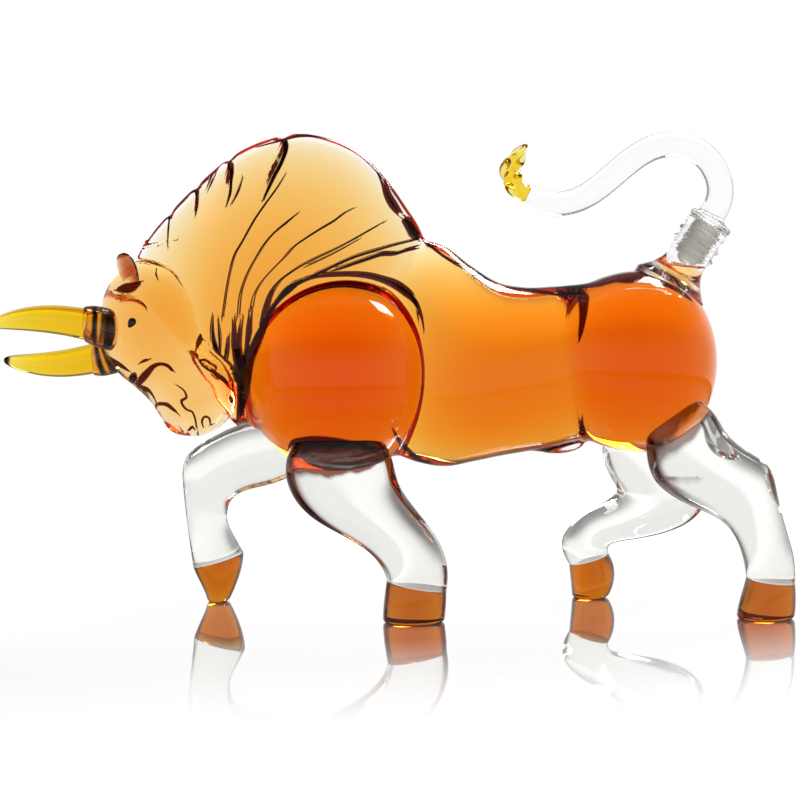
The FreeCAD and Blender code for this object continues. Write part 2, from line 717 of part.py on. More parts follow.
def build():
    chest_out = chest_form(0)
    rump_out = rump_form(0)
    barrel_out = barrel_form(0)
    hump_out = hump_form(0, THROAT_START, 1)
    head_level = head_form(0)
    head_out = rolled(head_level)
    chest_in = chest_form(WALL)
    rump_in = rump_form(WALL)
    barrel_in = barrel_form(WALL)
    hump_in = hump_form(WALL + MANE_DEPTH / 2, THROAT_SOLID, 0)
    head_in = rolled(head_form(WALL))
    bore = neck_bore()
    nodes = {}
    nodes["chest_bulb"] = without(chest_out, chest_in, barrel_in, hump_in)
    nodes["rump_bulb"] = without(rump_out, rump_in, barrel_in, bore)
    nodes["barrel_section"] = without(barrel_out, chest_out, rump_out, barrel_in, hump_in)
    nodes["head_bulb"] = without(head_out, head_in, hump_in)
    nodes["hump_mane"] = without(hump_out, chest_out, barrel_out, head_out, hump_in)
    nodes["pour_neck"] = without(neck(), rump_out, barrel_out)
    nodes["belly_sheath"] = without(sheath(), barrel_out, rump_out)
    front_hip = CHEST - UP * (FRONT_HIP_SHARE * CHEST_RADIUS)
    front_out = SIDE * (FRONT_SPREAD_SHARE * CHEST_RADIUS)
    rear_hip = RUMP - UP * (REAR_HIP_SHARE * RUMP_RADIUS)
    rear_out = SIDE * (REAR_SPREAD_SHARE * RUMP_RADIUS)
    limbs = [
        ("front_left", front_hip - front_out, FRONT_LEFT_STRIDE,
         FRONT_LEFT_LEG_SHARES, FRONT_LEFT_HOOF_SHARES),
        ("front_right", front_hip + front_out, FRONT_RIGHT_STRIDE,
         FRONT_RIGHT_LEG_SHARES, FRONT_RIGHT_HOOF_SHARES),
        ("rear_left", rear_hip - rear_out, REAR_LEFT_STRIDE,
         REAR_LEFT_LEG_SHARES, REAR_LEFT_HOOF_SHARES),
        ("rear_right", rear_hip + rear_out, REAR_RIGHT_STRIDE,
         REAR_RIGHT_LEG_SHARES, REAR_RIGHT_HOOF_SHARES),
    ]
    for name, hip, stride, leg_shares, hoof_shares in limbs:
        leg, hoof = limb(hip, stride, leg_shares, hoof_shares)
        nodes[name + "_leg"] = without(leg, chest_out, barrel_out, rump_out)
        nodes[name + "_hoof"] = hoof
    for name, hand in (("left", -1), ("right", 1)):
        root = horn(hand)
        nodes[name + "_horn"] = rolled(without(root, head_level))
        nodes[name + "_horn_collar"] = rolled(without(horn_collar(hand), root, head_level))
        nodes[name + "_ear"] = without(rolled(without(ear(hand), head_level)), hump_out)
        nodes[name + "_eye"] = rolled(without(eye(hand, head_level), head_level))
    nodes["seal_sleeve"] = seal()
    nodes["tail_stopper"] = tail()
    nodes["tail_tuft"] = tuft()
    return nodes


def main():
    nodes = build()
    boxes = [shape.optimalBoundingBox() for shape in nodes.values()]
    middle = (min(box.XMin for box in boxes) + max(box.XMax for box in boxes)) / 2
    os.makedirs("parts", exist_ok=True)
    for name, shape in nodes.items():
        placed = max(shape.Solids, key=lambda solid: solid.Volume).copy()
        placed.translate(Vector(-middle, 0, 0))
        placed.exportStep("parts/" + name + ".step")
        print(name, len(shape.Solids), shape.isValid(), round(placed.Volume))
    rim = NECK_FOOT + NECK_AXIS * RIM_TOP - REARWARD * middle
    print("rim centre", rim, "axis", NECK_AXIS, "shift", -middle)


main()
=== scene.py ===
# %% [markdown]
# # A walking bull of blown glass, with its tail for a stopper
# The decanter is five blown sections welded into one vessel, full of amber spirit. Clear glass rods make
# the legs, amber glass the hooves, yellow glass the horns, and a ribbed seal holds the tail in the neck.
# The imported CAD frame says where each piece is; this lesson gives each one its finer form and its glass.

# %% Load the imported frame
import math

import bpy
import numpy as np
from mathutils import Matrix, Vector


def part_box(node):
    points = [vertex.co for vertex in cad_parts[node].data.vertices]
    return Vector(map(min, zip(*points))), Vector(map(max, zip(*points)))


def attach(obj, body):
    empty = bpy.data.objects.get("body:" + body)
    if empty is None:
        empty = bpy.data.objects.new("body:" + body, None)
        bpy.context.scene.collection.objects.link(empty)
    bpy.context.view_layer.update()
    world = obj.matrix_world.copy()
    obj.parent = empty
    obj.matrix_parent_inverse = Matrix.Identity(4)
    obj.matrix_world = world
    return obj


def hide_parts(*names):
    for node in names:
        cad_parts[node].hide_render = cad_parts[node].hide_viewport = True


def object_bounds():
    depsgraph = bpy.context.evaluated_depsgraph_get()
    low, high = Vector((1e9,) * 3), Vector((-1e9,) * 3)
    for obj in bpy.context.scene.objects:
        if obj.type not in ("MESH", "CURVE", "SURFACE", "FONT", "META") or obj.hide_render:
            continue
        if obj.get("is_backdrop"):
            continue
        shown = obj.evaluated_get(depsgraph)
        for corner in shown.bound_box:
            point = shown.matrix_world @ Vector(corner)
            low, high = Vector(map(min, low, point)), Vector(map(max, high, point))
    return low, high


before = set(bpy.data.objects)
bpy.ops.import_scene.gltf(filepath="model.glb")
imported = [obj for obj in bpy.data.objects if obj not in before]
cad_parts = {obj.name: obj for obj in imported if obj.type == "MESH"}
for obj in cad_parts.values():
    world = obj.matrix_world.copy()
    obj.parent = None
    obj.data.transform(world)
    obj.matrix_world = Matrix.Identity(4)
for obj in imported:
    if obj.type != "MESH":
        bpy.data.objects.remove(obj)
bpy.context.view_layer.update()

# %% [markdown]
# ## Landmarks and small tools
# All shapes are worked out in millimetres in the frame of the CAD part, and become metres when a mesh is
# made. The side view lies in the XZ plane, so most directions are headings in that plane.

# %% Landmarks
MM = 0.001
MIDDLE = 22.449
SIDE = np.array([0.0, 1.0, 0.0])
UP = np.array([0.0, 0.0, 1.0])
CHEST = np.array([-MIDDLE, 0.0, 100.4])
CHEST_RADIUS = 40.7
RUMP = np.array([128.0 - MIDDLE, 0.0, 104.8])
RUMP_RADIUS = 38.2
THROAT = np.array([-39.9 - MIDDLE, 0.0, 75.2])
POLL = THROAT + np.array([-45.4, 0.0, 71.4])
WALL = 2.5


def heading(degrees):
    """Unit direction in the side view: 0 points rearward and 90 points up."""
    return np.array([math.cos(math.radians(degrees)), 0.0, math.sin(math.radians(degrees))])


def unit(way):
    """The same way with length 1."""
    return way / np.linalg.norm(way)


def turns(count):
    """Even angles round a full turn."""
    return 2 * np.pi * np.arange(count) / count


def through(places, values, x):
    """Smooth curve through a table: cubic pieces whose slopes are the table's central differences."""
    places, values = np.asarray(places, float), np.asarray(values, float)
    slopes = np.gradient(values, places)
    i = np.clip(np.searchsorted(places, x) - 1, 0, len(places) - 2)
    gap = places[i + 1] - places[i]
    t = np.clip((x - places[i]) / gap, 0, 1)
    return (values[i] * (1 + 2 * t) * (1 - t) ** 2 + slopes[i] * gap * t * (1 - t) ** 2
            + values[i + 1] * t * t * (3 - 2 * t) - slopes[i + 1] * gap * t * t * (1 - t))


print("landmarks: chest", CHEST, "rump", RUMP, "throat", THROAT)

# %% [markdown]
# ## Camera
# The photograph is taken from the bull's left with a long lens, a little above the back, and the camera is
# turned by about half a degree. The camera comes first.

# %% Camera
TARGET = np.array([0.0, 0.0, 95.0])
CAMERA_DISTANCE = 850.0
CAMERA_RISE = math.radians(4.5)
CAMERA_ROLL = math.radians(0.6)
SENSOR_WIDTH, LENS = 36.0, 90.85
PICTURE_WIDTH, SHIFT_RIGHT, SHIFT_DOWN = 800, 7.0, 13.0
camera_data = bpy.data.cameras.new("studio_camera")
camera_data.sensor_width = SENSOR_WIDTH
camera_data.lens = LENS
camera_data.shift_x = SHIFT_RIGHT / PICTURE_WIDTH
camera_data.shift_y = -SHIFT_DOWN / PICTURE_WIDTH
camera_data.clip_start = 0.01
camera = bpy.data.objects.new("studio_camera", camera_data)
bpy.context.scene.collection.objects.link(camera)
view_line = np.array([0, -math.cos(CAMERA_RISE), math.sin(CAMERA_RISE)])
camera.location = (TARGET + CAMERA_DISTANCE * view_line) * MM
tilted = Matrix.Rotation(math.pi / 2 - CAMERA_RISE, 3, "X") @ Matrix.Rotation(-CAMERA_ROLL, 3, "Z")
camera.rotation_euler = tilted.to_euler()
bpy.context.scene.camera = camera
print("camera at", [round(v, 3) for v in camera.location])

# %% [markdown]
# ## Shader sums as Python
# One class wraps a socket, so that `1 - mask` or `noise * 0.2` adds the Math nodes by itself. One method adds
# any other node: its settings first, then what goes into its sockets.


# %% Sockets with operators
class Sock:
    """A socket of a node tree; sums on it add Math nodes."""

    def __init__(self, tree, out=None):
        self.tree = tree
        self.out = out

    def add(self, kind, settings=None, sockets=None, output=0):
        """Any node: settings first, then the values or links of its sockets; gives one of its outputs."""
        node = self.tree.nodes.new(kind)
        for name, value in (settings or {}).items():
            setattr(node, name, value)
        for name, value in (sockets or {}).items():
            if isinstance(value, Sock):
                self.tree.links.new(value.out, node.inputs[name])
            else:
                node.inputs[name].default_value = value
        return Sock(self.tree, node.outputs[output])

    def attribute(self, name):
        """The number that a mesh keeps under this name for each of its points."""
        return self.add("ShaderNodeAttribute", {"attribute_name": name}, output="Fac")

    def noise(self, scale, detail):
        """Cloudy noise in the coordinates of the object."""
        place = self.add("ShaderNodeTexCoord", output="Object")
        return self.add("ShaderNodeTexNoise", None, {"Vector": place, "Scale": scale, "Detail": detail})

    def maths(self, operation, *terms):
        """A Math node on any number of terms."""
        return self.add("ShaderNodeMath", {"operation": operation}, dict(enumerate(terms)))

    def __add__(self, other):
        return self.maths("ADD", self, other)

    def __radd__(self, other):
        return self.maths("ADD", other, self)

    def __sub__(self, other):
        return self.maths("SUBTRACT", self, other)

    def __rsub__(self, other):
        return self.maths("SUBTRACT", other, self)

    def __mul__(self, other):
        return self.maths("MULTIPLY", self, other)

    def __rmul__(self, other):
        return self.maths("MULTIPLY", other, self)

    def __truediv__(self, other):
        return self.maths("DIVIDE", self, other)

    def __rtruediv__(self, other):
        return self.maths("DIVIDE", other, self)

    def band(self, low, high):
        """0 below low and 1 above high, smooth between; the other way round where low is the larger."""
        return self.add("ShaderNodeMapRange", {"interpolation_type": "SMOOTHSTEP", "clamp": True},
                        {"Value": self, "From Min": low, "From Max": high, "To Min": 0.0, "To Max": 1.0})

    def mix(self, first, second):
        """Colour between two, by this socket."""
        return self.add("ShaderNodeMix", {"data_type": "RGBA"}, {0: self, 6: first, 7: second}, 2)


print("sockets ready")

# %% [markdown]
# ## Glass finishes
# Blown glass is almost free of colour, but never quite even: slow waves from the blowing bend what is seen
# through it, and a few seeds dull it here and there. The waves are a Bump of slow noise and the seeds are a
# little roughness. Coloured glass and the spirit take their colour from their depth, so the colour is a
# Volume Absorption, which deepens where the piece is thick.

# %% Glass
WHITE = (1.0, 1.0, 1.0, 1.0)
WAVE_SCALE, WAVE_HEIGHT = 55.0, 0.0006
SEED_SCALE, SEED_LOW, SEED_HIGH = 620.0, 0.70, 0.80


def finish_start(name):
    """New material with an empty node tree; gives the material and its sockets."""
    material = bpy.data.materials.new(name)
    material.use_nodes = True
    material.node_tree.nodes.clear()
    return material, Sock(material.node_tree)


def finish_end(material, shader, volume=None):
    """Link a shader, and a volume if there is one, to the material's output."""
    links = material.node_tree.links
    output = material.node_tree.nodes.new("ShaderNodeOutputMaterial")
    links.new(shader.out, output.inputs["Surface"])
    if volume is not None:
        links.new(volume.out, output.inputs["Volume"])
    return material


def glass(name, tint, ior, absorb=None, density=0.0, wave=0.25, dull=0.02, lines=None):
    """Clear or coloured glass: its tint varies slightly, slow waves bend it and absorption colours its depth.

    lines is a function that may change the colour and the height of the waves. What is the same all over the
    glass, such as a white tint, no waves or no seeds, is set on the shader itself.
    """
    material, s = finish_start(name)
    sockets = {"Roughness": 0.0, "IOR": ior, "Transmission Weight": 1.0}
    colour, waves = tint, s.noise(WAVE_SCALE, 2.0) if wave else None
    paler = tuple(min(1.0, 1.02 * c) for c in tint[:3]) + (1.0,)
    if wave and paler != tint:
        colour = waves.mix(tint, paler)
    if lines is not None:
        colour, waves = lines(s, colour, waves)
    if dull:
        sockets["Roughness"] = s.noise(SEED_SCALE, 3.0).band(SEED_LOW, SEED_HIGH) * dull
    if wave:
        sockets["Normal"] = s.add("ShaderNodeBump", None, {
            "Strength": wave, "Distance": WAVE_HEIGHT, "Height": waves})
    shader = s.add("ShaderNodeBsdfPrincipled", None, {"Base Color": colour, **sockets})
    volume = None
    if absorb is not None:
        volume = s.add("ShaderNodeVolumeAbsorption", None, {"Color": absorb, "Density": density})
    return finish_end(material, shader, volume)


print("glass function ready")


# %% Painted shade of rims and welds, and rings
def painted_dark_rim(low, high, shade):
    """Lines of a rod with a painted dark rim: shade painted into its colour where its face turns away at a
    slant, for the light that leaves it there towards the dark of the room.
    """
    def lines(s, colour, waves):
        slant = s.add("ShaderNodeLayerWeight", None, {"Blend": 0.5}, output="Facing")
        return slant.band(low, high).mix(colour, shade), waves
    return lines


# Painted shade: clear rods get a grey rim, and hooves a dark brown one
rod_rim_shade = painted_dark_rim(0.60, 0.90, (0.09, 0.09, 0.085, 1.0))
hoof_rim_shade = painted_dark_rim(0.38, 0.72, (0.03, 0.006, 0.001, 1.0))


def painted(attribute, shade, edge=None):
    """Lines that shade a piece by one of its attributes, after the lines of its edge."""
    def lines(s, colour, waves):
        if edge is not None:
            colour, waves = edge(s, colour, waves)
        return s.attribute(attribute).mix(colour, shade), waves
    return lines


def collar_rings(s, colour, waves):
    """Two dark rings along the collar."""
    place = s.attribute("collar_place")
    rings = place.band(0.02, 0.10) * place.band(0.40, 0.30) + place.band(0.58, 0.64) * place.band(0.80, 0.74)
    return (rings * 0.93).mix(colour, (0.012, 0.002, 0.001, 1.0)), waves


# A leg gets painted brown near its weld, for the spirit's colour seen through it, and a painted dark rim.
# The weld cap gets painted shade, darkest on the near front leg. A horn has a painted dark rim, and the far
# horn also has a dark tip.
leg_brown_and_rim_shade = painted("warm", (0.055, 0.004, 0.0004, 1.0), rod_rim_shade)
weld_painted_shade = painted("weld", (0.006, 0.0008, 0.0003, 1.0))
horn_shade = painted("tip", (0.012, 0.006, 0.002, 1.0), rod_rim_shade)
print("lines of rods, welds and rings ready")

# %% Glasses of the pieces
GLASS_IOR, FILLED_IOR, HEAD_IOR, NO_BEND = 1.47, 1.33, 1.14, 1.0
CLEAR, LEG_TINT = (0.985, 0.99, 0.985, 1.0), (0.86, 0.865, 0.835, 1.0)
WARM_TINT, HORN_TINT = (1.0, 0.96, 0.90, 1.0), (1.0, 0.98, 0.90, 1.0)
COLLAR_TINT, EAR_TINT = (1.0, 0.9, 0.8, 1.0), (0.95, 0.85, 0.75, 1.0)
HOOF_AMBER, HORN_YELLOW = (0.885, 0.65, 0.0, 1.0), (0.965, 0.87, 0.0, 1.0)
COLLAR_BROWN, EAR_BROWN = (0.90, 0.55, 0.0, 1.0), (0.76, 0.30, 0.0, 1.0)
AMBER, HEAD_AMBER = (0.963, 0.69, 0.0, 1.0), (0.963, 0.70, 0.12, 1.0)
clear_glass = glass("clear_rod_glass", CLEAR, GLASS_IOR, lines=rod_rim_shade)
neck_glass = glass("filled_neck_glass", CLEAR, FILLED_IOR)
leg_glass = glass("leg_rod_glass", LEG_TINT, GLASS_IOR, lines=leg_brown_and_rim_shade)
weld_glass = glass("welded_glass", WHITE, NO_BEND, wave=0.0, dull=0.0, lines=weld_painted_shade)
hoof_glass = glass("amber_hoof_glass", WARM_TINT, GLASS_IOR, HOOF_AMBER, 300.0, lines=hoof_rim_shade)
horn_glass = glass("yellow_horn_glass", HORN_TINT, GLASS_IOR, HORN_YELLOW, 420.0, lines=horn_shade)
collar_glass = glass("wound_collar_glass", COLLAR_TINT, GLASS_IOR, COLLAR_BROWN, 260.0, lines=collar_rings)
ear_glass = glass("brown_ear_glass", EAR_TINT, GLASS_IOR, EAR_BROWN, 2200.0)
far_ear_glass = glass("thin_ear_glass", WARM_TINT, GLASS_IOR, EAR_BROWN, 300.0)
spirit = glass("amber_spirit", WHITE, NO_BEND, AMBER, 107.0, wave=0.0, dull=0.0)
head_spirit = glass("amber_spirit_in_head", WHITE, NO_BEND, HEAD_AMBER, 68.0, wave=0.0, dull=0.0)
print("glasses:", [m.name for m in bpy.data.materials if m.use_nodes])

# %% [markdown]
# ## Seal and eyes
# The seal is soft translucent silicone, warm white and slightly dusty. The eyes are beads of black glass.


# %% Silicone and black glass
def silicone():
    """Milky silicone: fine dust roughens it and slow clouds vary its white."""
    material, s = finish_start("grey_silicone")
    dust, cloud = s.noise(900.0, 4.0), s.noise(160.0, 2.0)
    colour = (cloud * 0.6 + dust * 0.4).mix((0.95, 0.92, 0.84, 1.0), (1.0, 0.99, 0.95, 1.0))
    bump = s.add("ShaderNodeBump", None, {"Strength": 0.2, "Distance": 0.0002, "Height": dust})
    shader = s.add("ShaderNodeBsdfPrincipled", None, {
        "Base Color": colour, "Roughness": 0.28 + dust * 0.12, "IOR": 1.41, "Transmission Weight": 0.60,
        "Normal": bump})
    return finish_end(material, shader)


def black_glass():
    """Glossy black glass, a little browner and duller in clouds."""
    material, s = finish_start("black_bead_glass")
    cloud = s.noise(700.0, 2.0)
    colour = cloud.mix((0.006, 0.003, 0.004, 1.0), (0.03, 0.012, 0.010, 1.0))
    shader = s.add("ShaderNodeBsdfPrincipled", None, {
        "Base Color": colour, "Roughness": 0.05 + cloud * 0.06, "IOR": 1.5})
    return finish_end(material, shader)


seal_silicone = silicone()
eye_black = black_glass()
print("seal and eye finishes:", seal_silicone.name, eye_black.name)

# %% [markdown]
# ## Making a mesh from rows
# Most pieces are rows of points round a rod, a lathe profile or a leaf. A first or last row that has shrunk
# to one point closes that end. The faces are turned outwards by the sign of the volume that they enclose.


# %% Mesh tools
def turned_out(points, faces):
    """Faces in the order that makes the enclosed volume positive."""
    volume = 0.0
    for block in faces:
        block = np.asarray(block)
        for i in range(1, block.shape[1] - 1):
            a, b, c = points[block[:, 0]], points[block[:, i]], points[block[:, i + 1]]
            volume += np.einsum("ij,ij->", a, np.cross(b, c))
    return [np.asarray(block)[:, ::-1] if volume < 0 else np.asarray(block) for block in faces]


def rows_mesh(rows, loop=False):
    """Points and face blocks of closed rows; loop also joins the last row to the first."""
    rows = np.asarray(rows, float)
    count, around = rows.shape[:2]
    first = 1 if not loop and np.ptp(rows[0], axis=0).max() < 1e-6 else 0
    last = count - 1 if not loop and np.ptp(rows[-1], axis=0).max() < 1e-6 else count
    body = rows[first:last]
    points = body.reshape(-1, 3)
    index = np.arange(len(points)).reshape(len(body), around)
    lower = index if loop else index[:-1]
    upper = np.roll(index, -1, 0) if loop else index[1:]
    quads = np.stack([lower, np.roll(lower, -1, 1), np.roll(upper, -1, 1), upper], -1).reshape(-1, 4)
    blocks = [quads]
    ends = (first == 1, rows[0, 0], index[0], -1), (last < count, rows[-1, 0], index[-1], 1)
    for closed, pole, edge, order in ends:
        if closed:
            points = np.vstack([points, pole])
            tip = np.full(around, len(points) - 1)
            blocks.append(np.stack([edge, np.roll(edge, -1), tip][::order], -1))
    return points, turned_out(points, blocks)


def mesh_object(name, points, faces, material):
    """Object at the origin from millimetre points."""
    mesh = bpy.data.meshes.new(name)
    mesh.from_pydata((points * MM).tolist(), [], [f for block in faces for f in block.tolist()])
    mesh.materials.append(material)
    obj = bpy.data.objects.new(name, mesh)
    bpy.context.scene.collection.objects.link(obj)
    return obj


def piece(name, points, faces, material, body, nodes=(), sharp=None, normals=None):
    """Smooth object that rides on a body and stands for CAD nodes."""
    obj = mesh_object(name, points, faces, material)
    mesh = obj.data
    mesh.shade_smooth()
    if sharp is not None:
        mesh.set_sharp_from_angle(angle=math.radians(sharp))
    if normals is not None:
        mesh.normals_split_custom_set_from_vertices(normals.tolist())
    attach(obj, body)
    if nodes:
        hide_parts(*nodes)
    print(name, len(mesh.vertices), "points", sum(len(p.vertices) - 2 for p in mesh.polygons), "triangles")
    return obj


def paint(obj, name, values):
    """A number for each point of a piece, which its finish reads by name."""
    obj.data.attributes.new(name, "FLOAT", "POINT").data.foreach_set("value", values.astype(np.float32))


def refinish(obj, material, chosen):
    """Another material for the chosen faces of a piece."""
    obj.data.materials.append(material)
    obj.data.polygons.foreach_set("material_index", chosen.astype(np.int32))


print("mesh tools ready")

# %% [markdown]
# ## Skins through rows of ovals
# A leg, a horn or a tail is a smooth skin through a few ovals. It is a surface of cubic pieces, clamped
# along the rod and closed around it; the ovals are swollen and sharpened first, so that the smooth skin
# runs through them and not inside them. The same sum gives the CAD part its rods.

# %% Smooth skins
AROUND = 12


def ring(centre, across, half_across, half_side, side=SIDE):
    """Closed oval of points about a centre."""
    turn = turns(AROUND)
    return centre + np.outer(half_across * np.cos(turn), across) + np.outer(half_side * np.sin(turn), side)


def clamped_weights(count, share):
    """Weights of cubic pieces, clamped at both ends, at shares of the way along."""
    knots = np.concatenate([[0.0] * 3, np.arange(count - 2.0), [count - 3.0] * 3])
    u = np.minimum(np.asarray(share) * (count - 3.0), count - 3.0 - 1e-9)[:, None]
    weight = ((knots[:-1] <= u) & (u < knots[1:])).astype(float)
    for degree in (1, 2, 3):
        low, high = knots[:-degree - 1], knots[degree + 1:]
        rise = np.maximum(knots[degree:-1] - low, 1e-12)
        fall = np.maximum(high - knots[1:-degree], 1e-12)
        weight = (u - low) / rise * weight[:, :-1] + (high - u) / fall * weight[:, 1:]
    return weight


def closed_weights(count):
    """Weights of cubic pieces that close on themselves, at even steps round."""
    v = AROUND * np.arange(count) / count
    j = np.floor(v).astype(int)
    t = v - j
    weight = np.zeros((count, AROUND))
    steps = ((-1, (1 - t) ** 3), (0, 4 - 6 * t ** 2 + 3 * t ** 3),
             (1, 1 + 3 * t + 3 * t ** 2 - 3 * t ** 3), (2, t ** 3))
    for shift, value in steps:
        weight[np.arange(count), (j + shift) % AROUND] += value / 6
    return weight


def skin(rows, share, around, end_tip=False):
    """Grid of points on the smooth skin through oval rows, at shares of the way along."""
    rows = np.asarray(rows, float)
    middle = rows.mean(1, keepdims=True)
    control = middle + (rows - middle) * (3 / (2 + math.cos(2 * math.pi / AROUND)))
    inner = control[2:-2] * (4 / 3) - (control[1:-3] + control[3:-1]) / 6
    control = np.concatenate([control[:2], inner, control[-2:]])
    if end_tip:
        control = np.concatenate([control, np.repeat(rows[-1].mean(0)[None, None], AROUND, 1)])
    return np.einsum("ui,ijk,vj->uvk", clamped_weights(len(control), share), control, closed_weights(around))


def fan_cap(loop, flats=(0.97, 0.75, 0.4, 0.0)):
    """Rows that close a loop towards its middle."""
    middle = loop.mean(0)
    return np.stack([middle + (loop - middle) * flat for flat in flats])


print("skins ready")

# %% [markdown]
# ## The blown vessel as a field of distances
# The five sections are blown one into another, so their skins flow together in soft fillets. Joined meshes
# would show hard seams, and a sculpted remesh would ripple the glass. Here each section is a sum that gives
# the distance of any point to its skin, a smooth minimum joins them, and a net of quads is drawn over the
# level where the sum is zero. Moving that level inwards by the wall gives the cavity, and the spirit.


# %% Sums for fields
def smooth_least(a, b, blend):
    """The smaller of two distances, rounded where they are nearly equal."""
    mix = np.clip(0.5 + 0.5 * (b - a) / blend, 0, 1)
    return b + (a - b) * mix - blend * mix * (1 - mix)


def slope(field, points, reach=0.3):
    """Central differences of a field along X, Y and Z."""
    steps = reach * np.eye(3)
    return np.stack([(field(points + s) - field(points - s)) / (2 * reach) for s in steps], -1)


def near_distance(raw, points, low, high, near=6.0):
    """Distance to a form: its raw sum over its slope near its box, and the way to the box elsewhere."""
    outside = np.maximum(np.asarray(low) - points, points - np.asarray(high)).max(-1)
    close = outside < near
    result = np.maximum(outside, near)
    some = points[close]
    if len(some):
        steep = np.linalg.norm(slope(raw, some), axis=-1)
        result[close] = raw(some) / np.maximum(steep, 1e-3)
    return result


def oval(lift, side):
    """0 on an oval whose two scaled offsets are given, less inside."""
    return np.hypot(lift, side) - 1


print("field sums ready")

# %% Rump and barrel
LIFT_LIMIT = 1.2
RUMP_FRONT, RUMP_REAR = 46.0, 30.3
RUMP_BOX = RUMP - (46, 39, 39), RUMP + (31, 39, 39)
BARREL_START, BARREL_LENGTH = 20.0 - MIDDLE, 94.0
BARREL_HEIGHT, BELLY_HEIGHT, BARREL_HALF_WIDTH = 69.7, 66.8, 28.0
BARREL_BOX = (BARREL_START, -30, 58), (BARREL_START + BARREL_LENGTH, 30, 160)
BARREL_SHARES = np.array([
    (0.00, 0.020, 1.20, 0.62, 0.30), (0.13, -0.050, 1.28, 0.70, 0.32), (0.26, -0.078, 1.25, 0.84, 0.32),
    (0.38, -0.050, 1.13, 0.96, 0.24), (0.50, -0.018, 1.030, 1.02, 0.14), (0.62, 0.008, 0.998, 1.02, 0.08),
    (0.75, 0.038, 1.002, 1.00, 0.06), (0.88, 0.085, 1.008, 0.96, 0.06), (1.00, 0.150, 0.960, 0.86, 0.06)])


def chest_distance(points):
    """Distance to the ball of the chest."""
    return np.linalg.norm(points - CHEST, axis=-1) - CHEST_RADIUS


def rump_raw(points):
    """Egg lying lengthwise: long in front and short behind."""
    x, y, z = np.moveaxis(points - RUMP, -1, 0)
    return oval(x / np.where(x < 0, RUMP_FRONT, RUMP_REAR), np.hypot(y, z) / RUMP_RADIUS)


def barrel_raw(points):
    """Upright eggs along the belly, narrower towards the back line."""
    x, y, z = np.moveaxis(points, -1, 0)
    place = (x - BARREL_START) / BARREL_LENGTH
    shares = (through(BARREL_SHARES[:, 0], column, place) for column in BARREL_SHARES[:, 1:].T)
    belly, back, width, narrowing = shares
    low = BELLY_HEIGHT + belly * BARREL_HEIGHT
    half = (back - belly) * BARREL_HEIGHT / 2
    lift = (z - low - half) / half
    breadth = width * BARREL_HALF_WIDTH * (1 - narrowing * np.clip(lift, -LIFT_LIMIT, LIFT_LIMIT))
    return oval(lift, y / breadth)


def barrel_distance(points):
    """Distance to the barrel, cut off flat at both ends."""
    ends = np.abs(points[..., 0] - BARREL_START - BARREL_LENGTH / 2) - BARREL_LENGTH / 2
    return np.maximum(near_distance(barrel_raw, points, *BARREL_BOX), ends)


print("barrel rows", len(BARREL_SHARES))

# %% [markdown]
# ## Hump and mane
# The hump is a fan of upright eggs about the throat. The locks of the mane part at the crest, where the
# maker nicked the soft glass. Two numbers say where a point lies on the fan: its angle with the lean undone,
# and its share of the way to the crest.

# %% The fan
HUMP_REACH, HUMP_HALF_WIDTH, HUMP_START = 129.0, 17.5, 5.0
HUMP_MIDDLE, HUMP_NARROWING = 0.42, 0.22
HUMP_BOX = (-114, -20, 72), (42, 20, 202)
HUMP_SHARES = np.array([
    (41.0, 0.790, 0.84), (48.0, 0.872, 0.96), (54.5, 0.912, 1.00), (61.0, 0.955, 1.02), (67.0, 0.990, 1.02),
    (73.0, 1.002, 1.02), (79.0, 0.996, 1.00), (85.0, 0.963, 0.97), (91.5, 0.912, 0.93), (98.5, 0.842, 0.86),
    (106.0, 0.778, 0.78), (114.0, 0.722, 0.70), (121.0, 0.672, 0.63), (128.0, 0.590, 0.56)])
FAN_FIRST, FAN_LAST = HUMP_SHARES[0, 0], HUMP_SHARES[-1, 0]
FAN_TABLE = np.linspace(FAN_FIRST - 30, FAN_LAST + 30, 600)
REACH_TABLE = HUMP_REACH * through(HUMP_SHARES[:, 0], HUMP_SHARES[:, 1], FAN_TABLE)
WIDTH_TABLE = HUMP_HALF_WIDTH * through(HUMP_SHARES[:, 0], HUMP_SHARES[:, 2], FAN_TABLE)
MANE_LEAN = 16.0
LEAN_TABLE = MANE_LEAN * np.sin(np.pi * np.clip((FAN_TABLE - FAN_FIRST) / (FAN_LAST - FAN_FIRST), 0, 1))


def fan_place(points):
    """Distance from the throat in the side view, angle with the lean undone, and share of the reach."""
    x, _, z = np.moveaxis(points - THROAT, -1, 0)
    away = np.hypot(x, z)
    seen = np.degrees(np.arctan2(z, x))
    seen = np.where(seen < -90, seen + 360, seen)
    angle = seen
    for _ in range(8):
        far = np.interp(angle, FAN_TABLE, REACH_TABLE)
        lean = np.interp(angle, FAN_TABLE, LEAN_TABLE)
        angle = seen - lean * np.clip(1 - away / far, -0.3, 1)
    return away, angle, away / np.interp(angle, FAN_TABLE, REACH_TABLE)


# Notches of the crest: fan angle, lean with the share, shares where they start and end, depth, half width
MANE_GROOVES = np.array([
    (81.5, -4.0, 0.80, 1.06, 1.4, 0.9), (92.0, -3.0, 0.84, 1.06, 1.3, 0.9),
    (100.2, 2.0, 0.90, 1.06, 1.2, 0.9), (108.2, 6.0, 0.90, 1.06, 1.0, 1.0)])


def mane_depth(angle, share):
    """Depth of the grooves: a bell across each groove, fading in and out along it."""
    depth = np.zeros_like(angle)
    for at, lean, start, end, deep, half in MANE_GROOVES:
        across = (angle - at - lean * (share - end)) / half
        along = np.clip((share - start) / 0.10, 0, 1) * np.clip((end + 0.06 - share) / 0.06, 0, 1)
        depth = np.maximum(depth, deep * along * np.exp(-across ** 2))
    return depth


